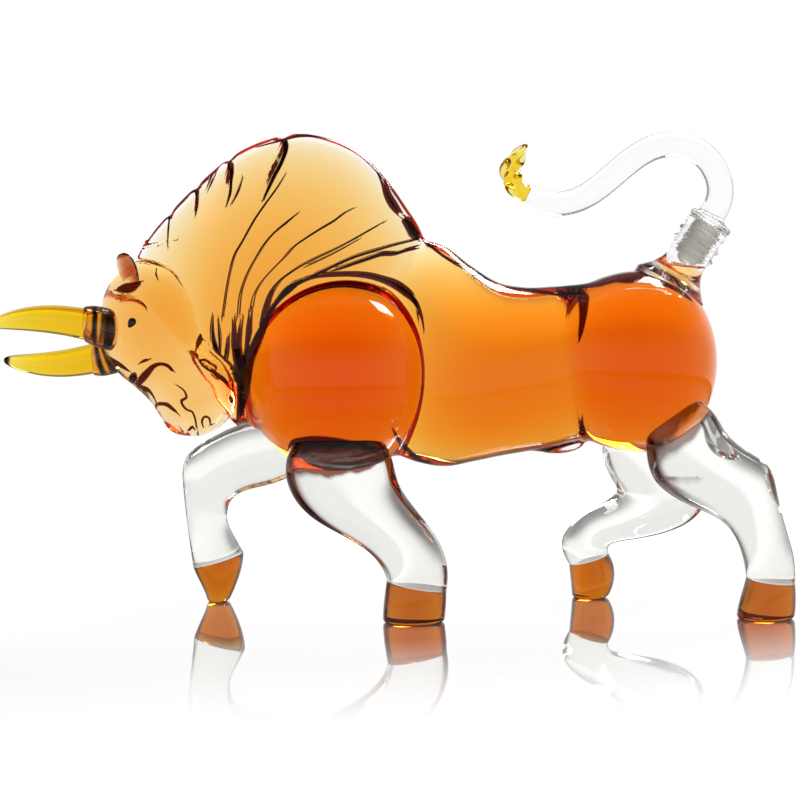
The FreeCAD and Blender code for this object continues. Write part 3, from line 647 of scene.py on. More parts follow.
def hump_raw(points, grooved=1.0):
    """Upright eggs about the throat, from the fan's start to its crest, with the notches if grooved."""
    away, angle, share = fan_place(points)
    deep = grooved * mane_depth(angle, share)
    far = np.interp(angle, FAN_TABLE, REACH_TABLE) - deep
    middle = HUMP_START + (far - HUMP_START) * HUMP_MIDDLE
    lift = np.where(away > middle, (away - middle) / (far - middle),
    (away - middle) / (middle - HUMP_START))
    narrow = 1 - HUMP_NARROWING * np.clip(lift, -LIFT_LIMIT, LIFT_LIMIT)
    breadth = (np.interp(angle, FAN_TABLE, WIDTH_TABLE) - deep) * narrow
    return oval(lift, points[..., 1] / breadth)


def hump_distance(points, grooved):
    """Distance to the hump, cut off along the fan's first and last angle."""
    away, angle, _ = fan_place(points)
    ends = np.radians(np.abs(angle - (FAN_FIRST + FAN_LAST) / 2) - (FAN_LAST - FAN_FIRST) / 2) * away
    around = near_distance(lambda p: hump_raw(p, grooved), points, *HUMP_BOX)
    return np.maximum(around, ends)


print("mane grooves", len(MANE_GROOVES))

# %% [markdown]
# ## Head
# Skull and muzzle are ovals along the line from the poll to the nose, and the whole head is rolled to the
# bull's left. The field is worked out on the level head, so points are rolled back before the sum.

# %% The head's field
HEAD_LENGTH, HEAD_DEPTH, HEAD_HALF_WIDTH = 78.6, 24.5, 21.5
HEAD_LEAN, HEAD_ROLL = 21.1, 34.0
HEAD_DOWN, HEAD_BACK = heading(HEAD_LEAN - 90), heading(HEAD_LEAN)
HEAD_SHARES = np.array([
    (-0.030, -0.03, -0.03, 0.00), (0.00, -0.36, 0.30, 0.40), (0.06, -0.62, 0.58, 0.72),
    (0.16, -0.83, 0.75, 0.92), (0.28, -0.96, 0.82, 1.00), (0.40, -1.00, 0.80, 0.99),
    (0.51, -0.93, 0.68, 0.88), (0.62, -0.76, 0.68, 0.77), (0.74, -0.60, 0.80, 0.76),
    (0.86, -0.52, 0.81, 0.74), (0.95, -0.44, 0.70, 0.64), (1.00, -0.24, 0.48, 0.40),
    (1.025, 0.12, 0.12, 0.00)])
HEAD_FORE, HEAD_JAW = HEAD_SHARES[:, 1] * HEAD_DEPTH, HEAD_SHARES[:, 2] * HEAD_DEPTH
HEAD_WIDE = HEAD_SHARES[:, 3] * HEAD_HALF_WIDTH
HEAD_BOX = (-135, -40, 70), (-62, 30, 152)
POLL_ROUND, NOSE_ROUND = 0.030, 0.025


def on_head(place, forward):
    """Point of the level head: share of its length, and depths forward of its line."""
    return POLL + HEAD_DOWN * (place * HEAD_LENGTH) - HEAD_BACK * (forward * HEAD_DEPTH)


HEAD_CENTRE = on_head(0.30, 0)


def rolled(points, degrees=-HEAD_ROLL):
    """Points turned about the head's own X line; the level head becomes the rolled one."""
    c, s = math.cos(math.radians(degrees)), math.sin(math.radians(degrees))
    turn = np.array([[1, 0, 0], [0, c, -s], [0, s, c]])
    return HEAD_CENTRE + (points - HEAD_CENTRE) @ turn.T


def head_raw(points):
    """Ovals from the poll to the nose, rounded off at both ends."""
    level = rolled(points, HEAD_ROLL) - POLL
    place = level @ HEAD_DOWN / HEAD_LENGTH
    back = level @ HEAD_BACK
    places = HEAD_SHARES[:, 0]
    columns = HEAD_FORE, HEAD_JAW, HEAD_WIDE
    fore, jaw, wide = (through(places[1:-1], column[1:-1], place) for column in columns)
    to_end = np.minimum((place - places[0]) / POLL_ROUND, (places[-1] - place) / NOSE_ROUND)
    shrink = np.sqrt(np.clip(to_end, 1e-4, 1))
    half = (jaw - fore) / 2 * shrink
    return oval((back - (fore + jaw) / 2) / half, level[..., 1] / (wide * shrink))


def head_distance(points):
    """Distance to the rolled head."""
    return near_distance(head_raw, points, *HEAD_BOX)


print("head centre", HEAD_CENTRE)

# %% [markdown]
# ## Joining the sections, and the spirit inside
# Fillets of a few millimetres join the sections. The spirit fills the vessel up into the neck, so glass and
# spirit touch everywhere, and almost no light turns back where they meet. The vessel is drawn as one clear
# form with a body of colour inside. The head has a spirit of its own, which is paler and lies nearer to the
# skin, because the light of the field shines through it.

# %% The vessel's field
NECK_TILT = 32.7
NECK_AXIS, NECK_ACROSS = heading(90 - NECK_TILT), heading(180 - NECK_TILT)
NECK_FOOT = RUMP + NECK_ACROSS * 7.8
NECK_BORE, RIM_TOP = 6.9, 61.5
BORE_LOW, BORE_HIGH = 22.0, 70.0
SHEATH_CENTRE = np.array([91.0 - MIDDLE, 0.0, BELLY_HEIGHT + 4.4])
SHEATH_HALF_LENGTH, SHEATH_RADIUS = 12.0, 5.0
FILLET = 3.0
HEAD_FILLET, SHEATH_FILLET = FILLET * 0.6, 2.0
SPIRIT_LEVEL, MENISCUS = 143.6, 1.2
HEAD_WALL, SPIRITS_APART = 1.6, 0.05


def sheath_distance(points):
    """Distance to the small drop under the belly."""
    size = SHEATH_HALF_LENGTH, SHEATH_RADIUS, SHEATH_RADIUS
    x, y, z = np.moveaxis((points - SHEATH_CENTRE) / size, -1, 0)
    return (np.sqrt(x * x + y * y + z * z) - 1) * SHEATH_RADIUS


def body(points, grooved=1.0):
    """Distance to the outside of the welded vessel without its head."""
    trunk = smooth_least(chest_distance(points), barrel_distance(points), FILLET)
    trunk = smooth_least(trunk, near_distance(rump_raw, points, *RUMP_BOX), FILLET)
    return smooth_least(trunk, hump_distance(points, grooved), FILLET)


def vessel(points, grooved=1.0):
    """Distance to the outside of the whole vessel."""
    whole = smooth_least(body(points, grooved), head_distance(points), HEAD_FILLET)
    return smooth_least(whole, sheath_distance(points), SHEATH_FILLET)


def bore(points, radius, low, high):
    """Distance to a straight bore along the neck, between two places on its axis."""
    q = points - NECK_FOOT
    along = q @ NECK_AXIS
    across = np.linalg.norm(q - along[..., None] * NECK_AXIS, axis=-1)
    return np.maximum(across - radius, np.maximum(low - along, along - high))


def spirit_field(points):
    """One wall inside the body, and up the neck's bore to the level."""
    neck = np.maximum(bore(points, NECK_BORE, BORE_LOW, BORE_HIGH), points[..., 2] - SPIRIT_LEVEL)
    return np.minimum(body(points, 0.0) + WALL, neck)


def head_spirit_field(points):
    """One thin wall inside the head, where the body's spirit ends."""
    return np.maximum(head_distance(points) + HEAD_WALL, SPIRITS_APART - WALL - body(points, 0.0))


print("spirit up to", SPIRIT_LEVEL, "mm")

# %% [markdown]
# ## A net of quads over a level
# The space is cut into small cubes. Each cube that the level passes through holds one point, and each cube
# edge that crosses the level makes one quad between the four cubes round it. The points are then evened
# out and moved exactly onto the level along the field's slope, which also gives their normals.


# %% Surface net
CORNERS = np.array([(i, j, k) for i in (0, 1) for j in (0, 1) for k in (0, 1)])
EDGES = [(a, b) for a in range(8) for b in range(a + 1, 8) if np.abs(CORNERS[a] - CORNERS[b]).sum() == 1]
EVEN_SHARE, LONGEST_MOVE, LEAST_SLOPE = 0.6, 0.8, 0.05


def net(field, low, high, step, rounds=3):
    """Points, quads and outward normals of the level of a field where it is zero."""
    low = np.asarray(low, float)
    shape = np.ceil((np.asarray(high) - low) / step).astype(int) + 1
    lattice = low + step * np.stack(np.meshgrid(*[np.arange(n) for n in shape], indexing="ij"), -1)
    value = field(lattice)
    inside = value < 0
    blocks = (tuple(slice(c, n - 1 + c) for c, n in zip(corner, shape)) for corner in CORNERS)
    held = sum(inside[block].astype(np.int8) for block in blocks)
    cells = np.argwhere((held > 0) & (held < 8))
    number = np.full(shape - 1, -1)
    number[tuple(cells.T)] = np.arange(len(cells))
    at = np.stack([value[tuple((cells + c).T)] for c in CORNERS], 1)
    total, crossings = np.zeros((len(cells), 3)), np.zeros((len(cells), 1))
    for a, b in EDGES:
        cross = ((at[:, a] < 0) != (at[:, b] < 0))[:, None]
        gap = np.where(cross[:, 0], at[:, a] - at[:, b], 1.0)
        spot = CORNERS[a] + (CORNERS[b] - CORNERS[a]) * (at[:, a] / gap)[:, None]
        total += np.where(cross, spot, 0)
        crossings += cross
    points = low + step * (cells + total / crossings)
    quads = []
    for axis in range(3):
        one, two = np.eye(3, dtype=int)[(axis + 1) % 3], np.eye(3, dtype=int)[(axis + 2) % 3]
        ahead = np.eye(3, dtype=int)[axis]
        lower = inside[tuple(slice(0, n - a) for n, a in zip(shape, ahead))]
        upper = inside[tuple(slice(a, None) for a in ahead)]
        edges = np.argwhere(lower != upper)
        corners = np.stack([number[tuple((edges - s).T)] for s in (one + two, two, 0 * one, one)], 1)
        out = lower[tuple(edges.T)]
        quads.append(np.where(out[:, None], corners, corners[:, ::-1]))
    quads = np.vstack(quads)
    ends = np.vstack([quads[:, [0, 1]], quads[:, [1, 2]], quads[:, [2, 3]], quads[:, [3, 0]]])
    ties = np.bincount(ends.ravel(), minlength=len(points))[:, None]
    first, second = ends.T
    for turn in range(rounds + 1):
        if turn < rounds:
            mean = np.stack([np.bincount(first, points[second, i], len(points))
                             + np.bincount(second, points[first, i], len(points)) for i in range(3)], 1) / ties
            points = points + EVEN_SHARE * (mean - points)
        steep = slope(field, points)
        steep2 = np.maximum((steep ** 2).sum(-1, keepdims=True), LEAST_SLOPE)
        move = field(points)[:, None] * steep / steep2
        points = points - np.clip(move, -LONGEST_MOVE * step, LONGEST_MOVE * step)
    steep = slope(field, points)
    return points, quads, steep / np.maximum(np.linalg.norm(steep, axis=-1, keepdims=True), 1e-9)


BODY_SPACE = (-136, -42.5, 57), (138, 42.5, 203)
HEAD_SPACE = (-138, -42, 66), (-58, 34, 156)
wall_points, wall_quads, wall_normals = net(vessel, *BODY_SPACE, 1.2)
spirit_points, spirit_quads, spirit_normals = net(spirit_field, *BODY_SPACE, 1.8)
head_points, head_quads, head_normals = net(head_spirit_field, *HEAD_SPACE, 1.5)
print("quads of the nets:", len(wall_quads), len(spirit_quads), len(head_quads))

# %% [markdown]
# ## Lines drawn in the glass
# The maker draws the mane, the brow and the mouth with a hot point. Each crease bends away the light behind
# it and shows as a dark line that swells and tapers. A crease is finer than the mesh, so it isn't modelled:
# every point of the vessel keeps its signed distance to the line beside it, in half widths of the line, and
# the finish paints the line's shade into the glass's colour where that passes through zero. Two lines are
# painted shade with no crease: one under the ear, and one over the near front leg. Lines that run close
# together take separate channels. The lines are listed in the side view: places along X and Z, and half the
# width of the line.

# %% Line tables
HEAD_LINES = {
    "skull_arc": [(-105.4, 148.3, 0.21), (-101.9, 148.4, 0.34), (-96.3, 147.4, 0.34), (-89.4, 145.1, 0.38),
        (-83.5, 140.8, 0.42), (-80.1, 136.6, 0.42), (-78.0, 130.9, 0.21)],
    "skull_nick": [(-97.7, 146.2, 0.13), (-97.6, 143.8, 0.29), (-96.6, 141.7, 0.13)],
    "skull_dash": [(-90.7, 142.4, 0.13), (-88.6, 140.8, 0.42), (-86.1, 138.7, 0.13)],
    # Painted shade under the ear, with no crease
    "shade_under_ear": [(-112.8, 137.6, 1.10), (-110.6, 138.0, 2.00), (-107.2, 138.5, 2.10),
        (-104.4, 140.0, 1.10)],
    "cheek": [(-76.9, 125.1, 0.21), (-78.2, 120.1, 0.76), (-79.5, 115.9, 1.01), (-80.2, 112.9, 0.34)],
    "lid": [(-103.1, 107.9, 0.21), (-100.9, 109.0, 0.59), (-99.2, 109.4, 0.25)],
    "brow": [(-89.4, 105.3, 0.55), (-91.1, 106.9, 0.67), (-94.1, 107.7, 0.59), (-97.1, 106.8, 0.93),
        (-99.7, 104.3, 1.43), (-102.6, 101.3, 1.60), (-104.7, 98.9, 1.09)],
    "bridge_upper": [(-123.1, 112.4, 0.42), (-120.7, 110.4, 1.09), (-116.6, 108.5, 1.35),
        (-112.3, 106.7, 1.09), (-108.3, 104.3, 0.34)],
    "bridge_lower": [(-109.3, 99.7, 0.51), (-106.4, 98.5, 1.26), (-103.5, 97.3, 1.52), (-100.2, 96.8, 0.93),
        (-97.9, 94.4, 0.46), (-96.2, 91.2, 0.17)],
    "mouth": [(-87.3, 99.5, 0.13), (-84.0, 97.0, 0.29), (-83.1, 94.5, 0.42), (-85.3, 93.4, 0.46),
        (-84.3, 90.8, 0.42), (-82.9, 89.4, 0.38), (-81.5, 89.1, 0.34), (-80.3, 86.7, 0.34),
        (-79.9, 82.1, 0.29)],
    "nostril": [(-77.3, 81.9, 0.21), (-77.4, 85.1, 0.38), (-76.2, 86.6, 0.38), (-74.8, 86.0, 0.38),
        (-74.4, 82.9, 0.25)],
    "chin": [(-84.7, 78.8, 0.21), (-83.1, 80.7, 0.46), (-81.5, 82.4, 0.34), (-80.7, 80.7, 0.25)],
    "lip": [(-74.4, 82.6, 0.17), (-70.6, 83.7, 0.25), (-67.6, 84.9, 0.25), (-66.4, 84.9, 0.17)],
    "jaw_loop": [(-78.6, 108.9, 0.25), (-77.0, 109.2, 0.34), (-74.2, 107.6, 0.38), (-71.8, 105.6, 0.38),
        (-72.3, 104.5, 0.38), (-75.6, 105.8, 0.34), (-77.9, 107.8, 0.29), (-78.6, 108.9, 0.25)],
    "jaw_tail": [(-73.4, 105.4, 0.34), (-71.8, 103.4, 0.76), (-69.1, 101.3, 0.76), (-67.1, 98.7, 0.51),
        (-65.8, 96.6, 0.21)]}
BODY_LINES = {
    "throat_1": [(-73.9, 125.5, 0.21), (-74.0, 120.6, 0.55), (-73.4, 114.4, 0.93), (-71.6, 109.1, 1.09),
        (-68.3, 104.9, 1.43), (-64.8, 99.8, 1.68)],
    "throat_2": [(-71.8, 123.9, 0.17), (-71.3, 117.3, 0.46), (-71.0, 110.7, 0.25)],
    "throat_3": [(-68.1, 117.3, 0.21), (-68.6, 112.3, 0.55), (-69.2, 107.8, 0.34)],
    "throat_4": [(-65.7, 124.7, 0.21), (-65.6, 118.5, 0.59), (-65.3, 112.3, 0.93), (-63.8, 104.8, 1.52)],
    "throat_5": [(-62.4, 124.7, 0.17), (-63.3, 118.5, 0.42), (-63.7, 112.3, 0.59), (-62.6, 105.7, 1.18)],
    "throat_6": [(-58.8, 127.9, 0.21), (-59.6, 120.6, 0.63), (-59.9, 114.4, 0.93), (-60.0, 107.3, 1.52)],
    "throat_mass": [(-61.7, 107.3, 2.11), (-61.7, 100.6, 3.16), (-62.1, 94.7, 2.86), (-63.2, 89.1, 1.94),
        (-64.7, 83.7, 0.93)],
    "chest_left": [(-37.8, 140.0, 0.59), (-42.3, 137.2, 1.52), (-46.5, 133.1, 1.09), (-50.5, 127.0, 1.01),
        (-53.6, 120.1, 1.68), (-56.1, 114.4, 1.94), (-58.3, 108.2, 1.60), (-59.3, 99.9, 1.01),
        (-60.5, 92.2, 0.67)],
    "chest_top": [(-44.4, 135.6, 0.93), (-39.4, 139.0, 0.76), (-33.1, 141.6, 0.63), (-23.1, 142.5, 0.55),
        (-15.3, 142.4, 0.63), (-7.4, 141.2, 0.84), (0.4, 138.2, 1.18), (5.2, 135.1, 1.35),
        (9.3, 131.6, 1.09), (11.8, 126.3, 0.59), (13.0, 119.8, 0.21)],
    "mane_1": [(-43.9, 198.2, 1.26), (-43.3, 196.1, 1.01), (-44.9, 189.8, 0.76), (-48.2, 183.4, 0.76),
        (-52.5, 174.2, 0.42)],
    "mane_1_low": [(-44.1, 183.4, 0.13), (-47.0, 178.7, 0.29), (-50.9, 173.4, 0.34), (-56.0, 166.2, 0.38),
        (-61.3, 157.0, 0.38), (-64.7, 151.2, 0.42), (-66.8, 144.4, 0.25), (-68.5, 136.2, 0.21),
        (-70.1, 125.5, 0.25)],
    "mane_2": [(-39.6, 167.3, 0.21), (-42.9, 164.6, 0.42), (-48.1, 160.4, 0.34), (-52.3, 155.7, 0.34),
        (-56.0, 150.0, 0.25), (-59.9, 142.9, 0.25), (-62.5, 135.8, 0.21), (-63.8, 125.5, 0.21)],
    "mane_3": [(-16.6, 169.4, 0.13), (-18.7, 168.5, 0.25), (-23.4, 165.1, 0.38), (-29.2, 161.7, 0.38),
        (-35.0, 158.1, 0.34), (-40.8, 154.0, 0.29), (-45.1, 149.3, 0.21), (-49.8, 144.6, 0.17),
        (-54.6, 139.0, 0.17), (-57.2, 134.3, 0.17), (-58.6, 127.9, 0.21)],
    "mane_4": [(-4.0, 163.8, 0.17), (-7.7, 161.7, 0.29), (-14.6, 157.9, 0.29), (-20.4, 154.8, 0.25),
        (-25.6, 152.2, 0.25), (-30.9, 149.8, 0.25), (-36.1, 147.2, 0.29), (-41.4, 144.1, 0.38),
        (-46.2, 140.5, 0.42), (-49.9, 136.1, 0.51), (-52.4, 129.9, 0.63), (-54.0, 122.6, 0.76)],
    "mane_4_low": [(-14.6, 156.6, 0.13), (-20.4, 153.4, 0.21), (-25.8, 150.6, 0.21), (-31.1, 148.1, 0.17),
        (-35.7, 146.1, 0.13)],
    "mane_5": [(11.3, 157.1, 0.34), (0.6, 154.5, 0.34), (-7.3, 152.3, 0.42), (-15.2, 150.0, 0.51),
        (-21.5, 147.5, 0.51), (-26.8, 145.0, 0.51), (-33.1, 142.1, 0.63)],
    "mane_6": [(10.2, 153.1, 0.34), (5.4, 152.2, 0.59), (0.6, 150.9, 0.63), (-4.7, 150.7, 0.67),
        (-8.9, 149.4, 0.67), (-15.2, 147.4, 0.63), (-20.5, 145.6, 0.51), (-24.2, 144.6, 0.21)],
    "notch_2": [(-66.4, 188.6, 1.35), (-65.8, 185.6, 0.84), (-66.1, 181.5, 0.55), (-66.4, 177.1, 0.55),
        (-67.9, 171.9, 0.25)],
    "notch_2_side": [(-61.4, 182.2, 0.13), (-63.0, 177.7, 0.42), (-65.6, 172.4, 0.17)],
    "notch_3": [(-80.8, 178.1, 1.09), (-80.5, 175.1, 0.67), (-80.6, 171.4, 0.63), (-81.1, 168.0, 0.21)],
    "notch_3_side": [(-72.5, 185.4, 0.13), (-74.3, 181.6, 0.34), (-75.9, 178.0, 0.13)],
    "notch_4": [(-93.0, 168.9, 0.84), (-92.6, 166.3, 0.38), (-92.8, 162.6, 0.34), (-93.0, 154.9, 0.13)],
    "crest_left": [(-100.6, 161.6, 0.25), (-97.7, 164.9, 0.42), (-94.7, 167.8, 0.46), (-92.0, 170.2, 0.42)],
    "crest_mid": [(-89.3, 171.9, 0.21), (-86.3, 175.2, 0.34), (-83.2, 177.4, 0.42), (-80.0, 179.0, 0.51)],
    "crest_right": [(-55.6, 195.8, 0.17), (-44.5, 198.7, 0.42), (-38.6, 200.1, 0.51), (-32.8, 200.3, 0.51),
        (-27.6, 199.6, 0.17)],
    "withers_upper": [(-9.6, 191.7, 0.29), (-6.5, 186.9, 0.38), (-3.9, 181.0, 0.46), (-1.8, 174.6, 1.01),
        (0.3, 170.9, 1.18), (2.6, 167.7, 0.67)],
    "withers_lower": [(5.5, 164.5, 1.26), (8.1, 161.3, 2.11), (9.7, 158.6, 2.11), (10.8, 157.3, 0.84)],
    "back": [(14.0, 155.8, 0.42), (22.2, 149.5, 0.59), (32.5, 143.6, 0.67), (45.3, 138.7, 0.67),
        (57.5, 135.4, 0.67), (69.6, 133.8, 0.76), (76.1, 133.7, 0.76)],
    "seam_wedge": [(78.8, 132.4, 2.36), (78.4, 128.6, 1.85), (77.5, 122.9, 1.26), (76.3, 117.2, 0.67),
        (75.9, 115.1, 0.21)],
    "seam_foot": [(77.5, 83.6, 0.17), (77.6, 80.0, 0.84), (78.1, 76.6, 1.68)],
    "rump_top": [(74.4, 136.3, 0.51), (79.0, 136.9, 1.05), (84.9, 138.4, 1.89), (92.1, 140.6, 2.32),
        (98.9, 140.3, 2.11), (102.8, 141.3, 1.26)],
    "belly_dip": [(19.4, 61.1, 0.84), (13.1, 63.2, 1.35), (6.8, 68.1, 1.35), (2.2, 74.6, 0.84),
        (-0.2, 79.9, 0.25)]}
LEFT_LINES = {
    # Painted shade over the near front leg's weld, with no crease
    "shade_over_front_leg": [(-43.1, 71.4, 0.63), (-41.2, 74.4, 1.26), (-36.1, 75.8, 1.77), (-27.8, 75.8, 2.11),
        (-19.7, 74.4, 2.11), (-12.9, 72.8, 1.77), (-7.7, 70.1, 1.26)],
    "neck_foot": [(103.6, 142.6, 0.51), (107.3, 139.2, 1.09), (113.0, 137.3, 0.93), (118.1, 134.7, 1.01),
        (123.0, 130.9, 0.42)]}


print("drawn lines:", len(HEAD_LINES) + len(BODY_LINES) + len(LEFT_LINES))

# %% Distances to the drawn lines
LINE_CHANNELS, LINE_STEP, LINE_NEAR = 4, 0.9, 12
LINE_APART, LINE_SOFT, FAR_OFF = 5.0, 0.10, 9.0


def drawn(rows):
    """Points about every millimetre along a smooth line through its table, with half widths."""
    rows = np.array(rows)
    run = np.concatenate([[0], np.cumsum(np.hypot(*np.diff(rows[:, :2], axis=0).T))])
    fine = np.linspace(0, run[-1], max(8, int(run[-1] / LINE_STEP)))
    return np.stack([through(run, column, fine) for column in rows.T], -1)


def line_distance(places, rows):
    """Signed distance of side-view places to a line, and the line's half width there."""
    line = drawn(rows)
    best, side, half = (np.full(len(places), v) for v in (1e9, 1.0, 1.0))
    beside = np.maximum(line[:, :2].min(0) - places, places - line[:, :2].max(0)).max(-1)
    close = (beside < LINE_NEAR).nonzero()[0]
    q = places[close]
    for (x0, z0, h0), (x1, z1, h1) in zip(line[:-1], line[1:]):
        ahead = np.array([x1 - x0, z1 - z0])
        off = q - (x0, z0)
        t = np.clip(off @ ahead / (ahead @ ahead), 0, 1)
        away = np.linalg.norm(off - t[:, None] * ahead, axis=1)
        pick = away < best[close]
        nearer = close[pick]
        side[nearer] = np.sign(ahead[0] * off[pick, 1] - ahead[1] * off[pick, 0])
        half[nearer] = h0 + (h1 - h0) * t[pick]
        best[nearer] = away[pick]
    return best, side, half


def line_channels(places, lines):
    """Two numbers for each channel: signed distance in half widths, and distance past the line's edge."""
    spans = [drawn(rows)[:, :2] for rows in lines]
    channel = []
    for i, span in enumerate(spans):
        taken = {channel[j] for j in range(i)
                 if np.linalg.norm(span[:, None] - spans[j][None], axis=-1).min() < LINE_APART}
        channel.append(min(set(range(LINE_CHANNELS)) - taken, default=LINE_CHANNELS - 1))
    signed, past = (np.full((LINE_CHANNELS, len(places)), FAR_OFF) for _ in range(2))
    for rows, c in zip(lines, channel):
        away, side, half = line_distance(places, rows)
        nearer = away - half < past[c]
        across = np.clip(side * away / (half + LINE_SOFT), -FAR_OFF, FAR_OFF)
        signed[c] = np.where(nearer, across, signed[c])
        past[c] = np.where(nearer, away - half, past[c])
    return signed, past


print("channels for lines:", LINE_CHANNELS)

# %% [markdown]
# ## The vessel's glass
# The far side of the face has a few lines of the near one, mirrored on the level head, so its points are
# mirrored before their distances are taken. Most lines of the body are the same on both sides. The head's
# skin bends light less than the rest, as a thin wall does.


# %% Finish with drawn lines
def crease_shade_lines(s, colour, waves):
    """Painted shade of the creases: base colour darkened, and the bump sunk, where a channel passes through
    zero close to its line.
    """
    dark = None
    for c in range(LINE_CHANNELS):
        across, past = s.attribute("line_across_%d" % c), s.attribute("line_past_%d" % c)
        line = across.maths("ABSOLUTE", across).band(1.20, 0.80) * past.band(1.6, 1.1)
        dark = line if dark is None else dark.maths("MAXIMUM", dark, line)
    return dark.mix(colour, (0.008, 0.0003, 0.0003, 1.0)), waves - dark * 0.5


vessel_glass = glass("vessel_glass_crease_shade", WHITE, FILLED_IOR, lines=crease_shade_lines, wave=0.10)
head_glass = glass("head_glass_crease_shade", WHITE, HEAD_IOR, lines=crease_shade_lines, wave=0.10)
vessel_piece = piece("blown_vessel", wall_points, [wall_quads], vessel_glass, "decanter",
                     ("chest_bulb", "barrel_section", "rump_bulb", "hump_mane", "head_bulb", "belly_sheath"),
                     normals=wall_normals)

# %% Lines on the vessel, and the spirit
level = rolled(wall_points, HEAD_ROLL)
near_face, near_side = level[:, 1] <= 0, wall_points[:, 1] < 0
mirrored = rolled(level * np.where(near_face[:, None], 1, (1, -1, 1)))
others = np.minimum(chest_distance(wall_points), hump_distance(wall_points, 0.0))
on_face = head_distance(wall_points) < others
far_face_lines = [HEAD_LINES[name] for name in ("lid", "brow", "mouth")]
signed, past = (np.full((LINE_CHANNELS, len(wall_points)), FAR_OFF) for _ in range(2))
for part, places, lines in ((on_face & near_face, wall_points, HEAD_LINES.values()),
                            (on_face & ~near_face, mirrored, far_face_lines),
                            (~on_face & near_side, wall_points, [*BODY_LINES.values(), *LEFT_LINES.values()]),
                            (~on_face & ~near_side, wall_points, BODY_LINES.values())):
    signed[:, part], past[:, part] = line_channels(places[part][:, [0, 2]], list(lines))
for c in range(LINE_CHANNELS):
    paint(vessel_piece, "line_across_%d" % c, signed[c])
    paint(vessel_piece, "line_past_%d" % c, past[c])
refinish(vessel_piece, head_glass, on_face[wall_quads].all(1))
piece("amber_spirit_fill", spirit_points, [spirit_quads], spirit, "decanter", normals=spirit_normals)
piece("head_spirit_fill", head_points, [head_quads], head_spirit, "decanter", normals=head_normals)

# %% [markdown]
# ## Legs and hooves
# Each leg is a solid rod drawn through ovals from the hip to the ankle. Where it meets the vessel it is
# welded, so the rod is cut a little way inside the vessel's skin and closed by a cap that follows the skin.
# The cap has a finish that doesn't bend light, as glass welded to glass doesn't, and painted shade
# darkens it on the near legs, most on the front one. The two near legs are painted brown where they pass on
# the colour of the spirit, and legs and hooves get a painted dark rim. A hoof of amber glass is welded on the
# ankle's flat oval.


# %% Trimming a rod to the vessel
WELD_DEPTH, EAR_WELD_DEPTH, CAP_DEPTH = 0.5, 0.3, 0.25
CAP_SHARES = (0.0, 0.3, 0.6, 0.85)


def along_grid(grid, at):
    """Rows of a grid at fractional row numbers, one number for each column."""
    low = np.clip(np.floor(at).astype(int), 0, len(grid) - 2)
    part = (at - low)[..., None]
    column = np.arange(grid.shape[1])
    return grid[low, column] * (1 - part) + grid[low + 1, column] * part


def weld_rows(grid, depth):
    """Row number at which each column of a rod last lies deeper in the vessel than depth, or else 0."""
    inside = vessel(grid, 0.0) + depth
    last = len(grid) - 1 - np.argmax((inside < 0)[::-1], axis=0)
    last = np.where((inside < 0).any(0), np.minimum(last, len(grid) - 2), 0)
    column = np.arange(grid.shape[1])
    low, high = inside[last, column], inside[last + 1, column]
    return last + np.clip(-low / np.maximum(high - low, 1e-6), 0, 1)


def settled(points, depth):
    """Points moved along the vessel's slope onto the level a depth inside its skin."""
    for _ in range(3):
        steep = slope(lambda p: vessel(p, 0.0), points)
        step = (vessel(points, 0.0) + depth)[..., None] * steep
        points = points - step / np.maximum((steep ** 2).sum(-1, keepdims=True), LEAST_SLOPE)
    return points


def welded_rod(grid, count, depth=WELD_DEPTH):
    """Rod cut at the vessel and capped along its skin; count rows remain."""
    start = weld_rows(grid, depth)
    share = np.linspace(0, 1, count)[:, None]
    rows = along_grid(grid, start + (len(grid) - 1 - start) * share)
    cap = settled(fan_cap(rows[0], CAP_SHARES), depth)
    cap[0] = cap[0].mean(0)
    return np.concatenate([cap, rows])


print("rods are cut", WELD_DEPTH, "mm inside the vessel")

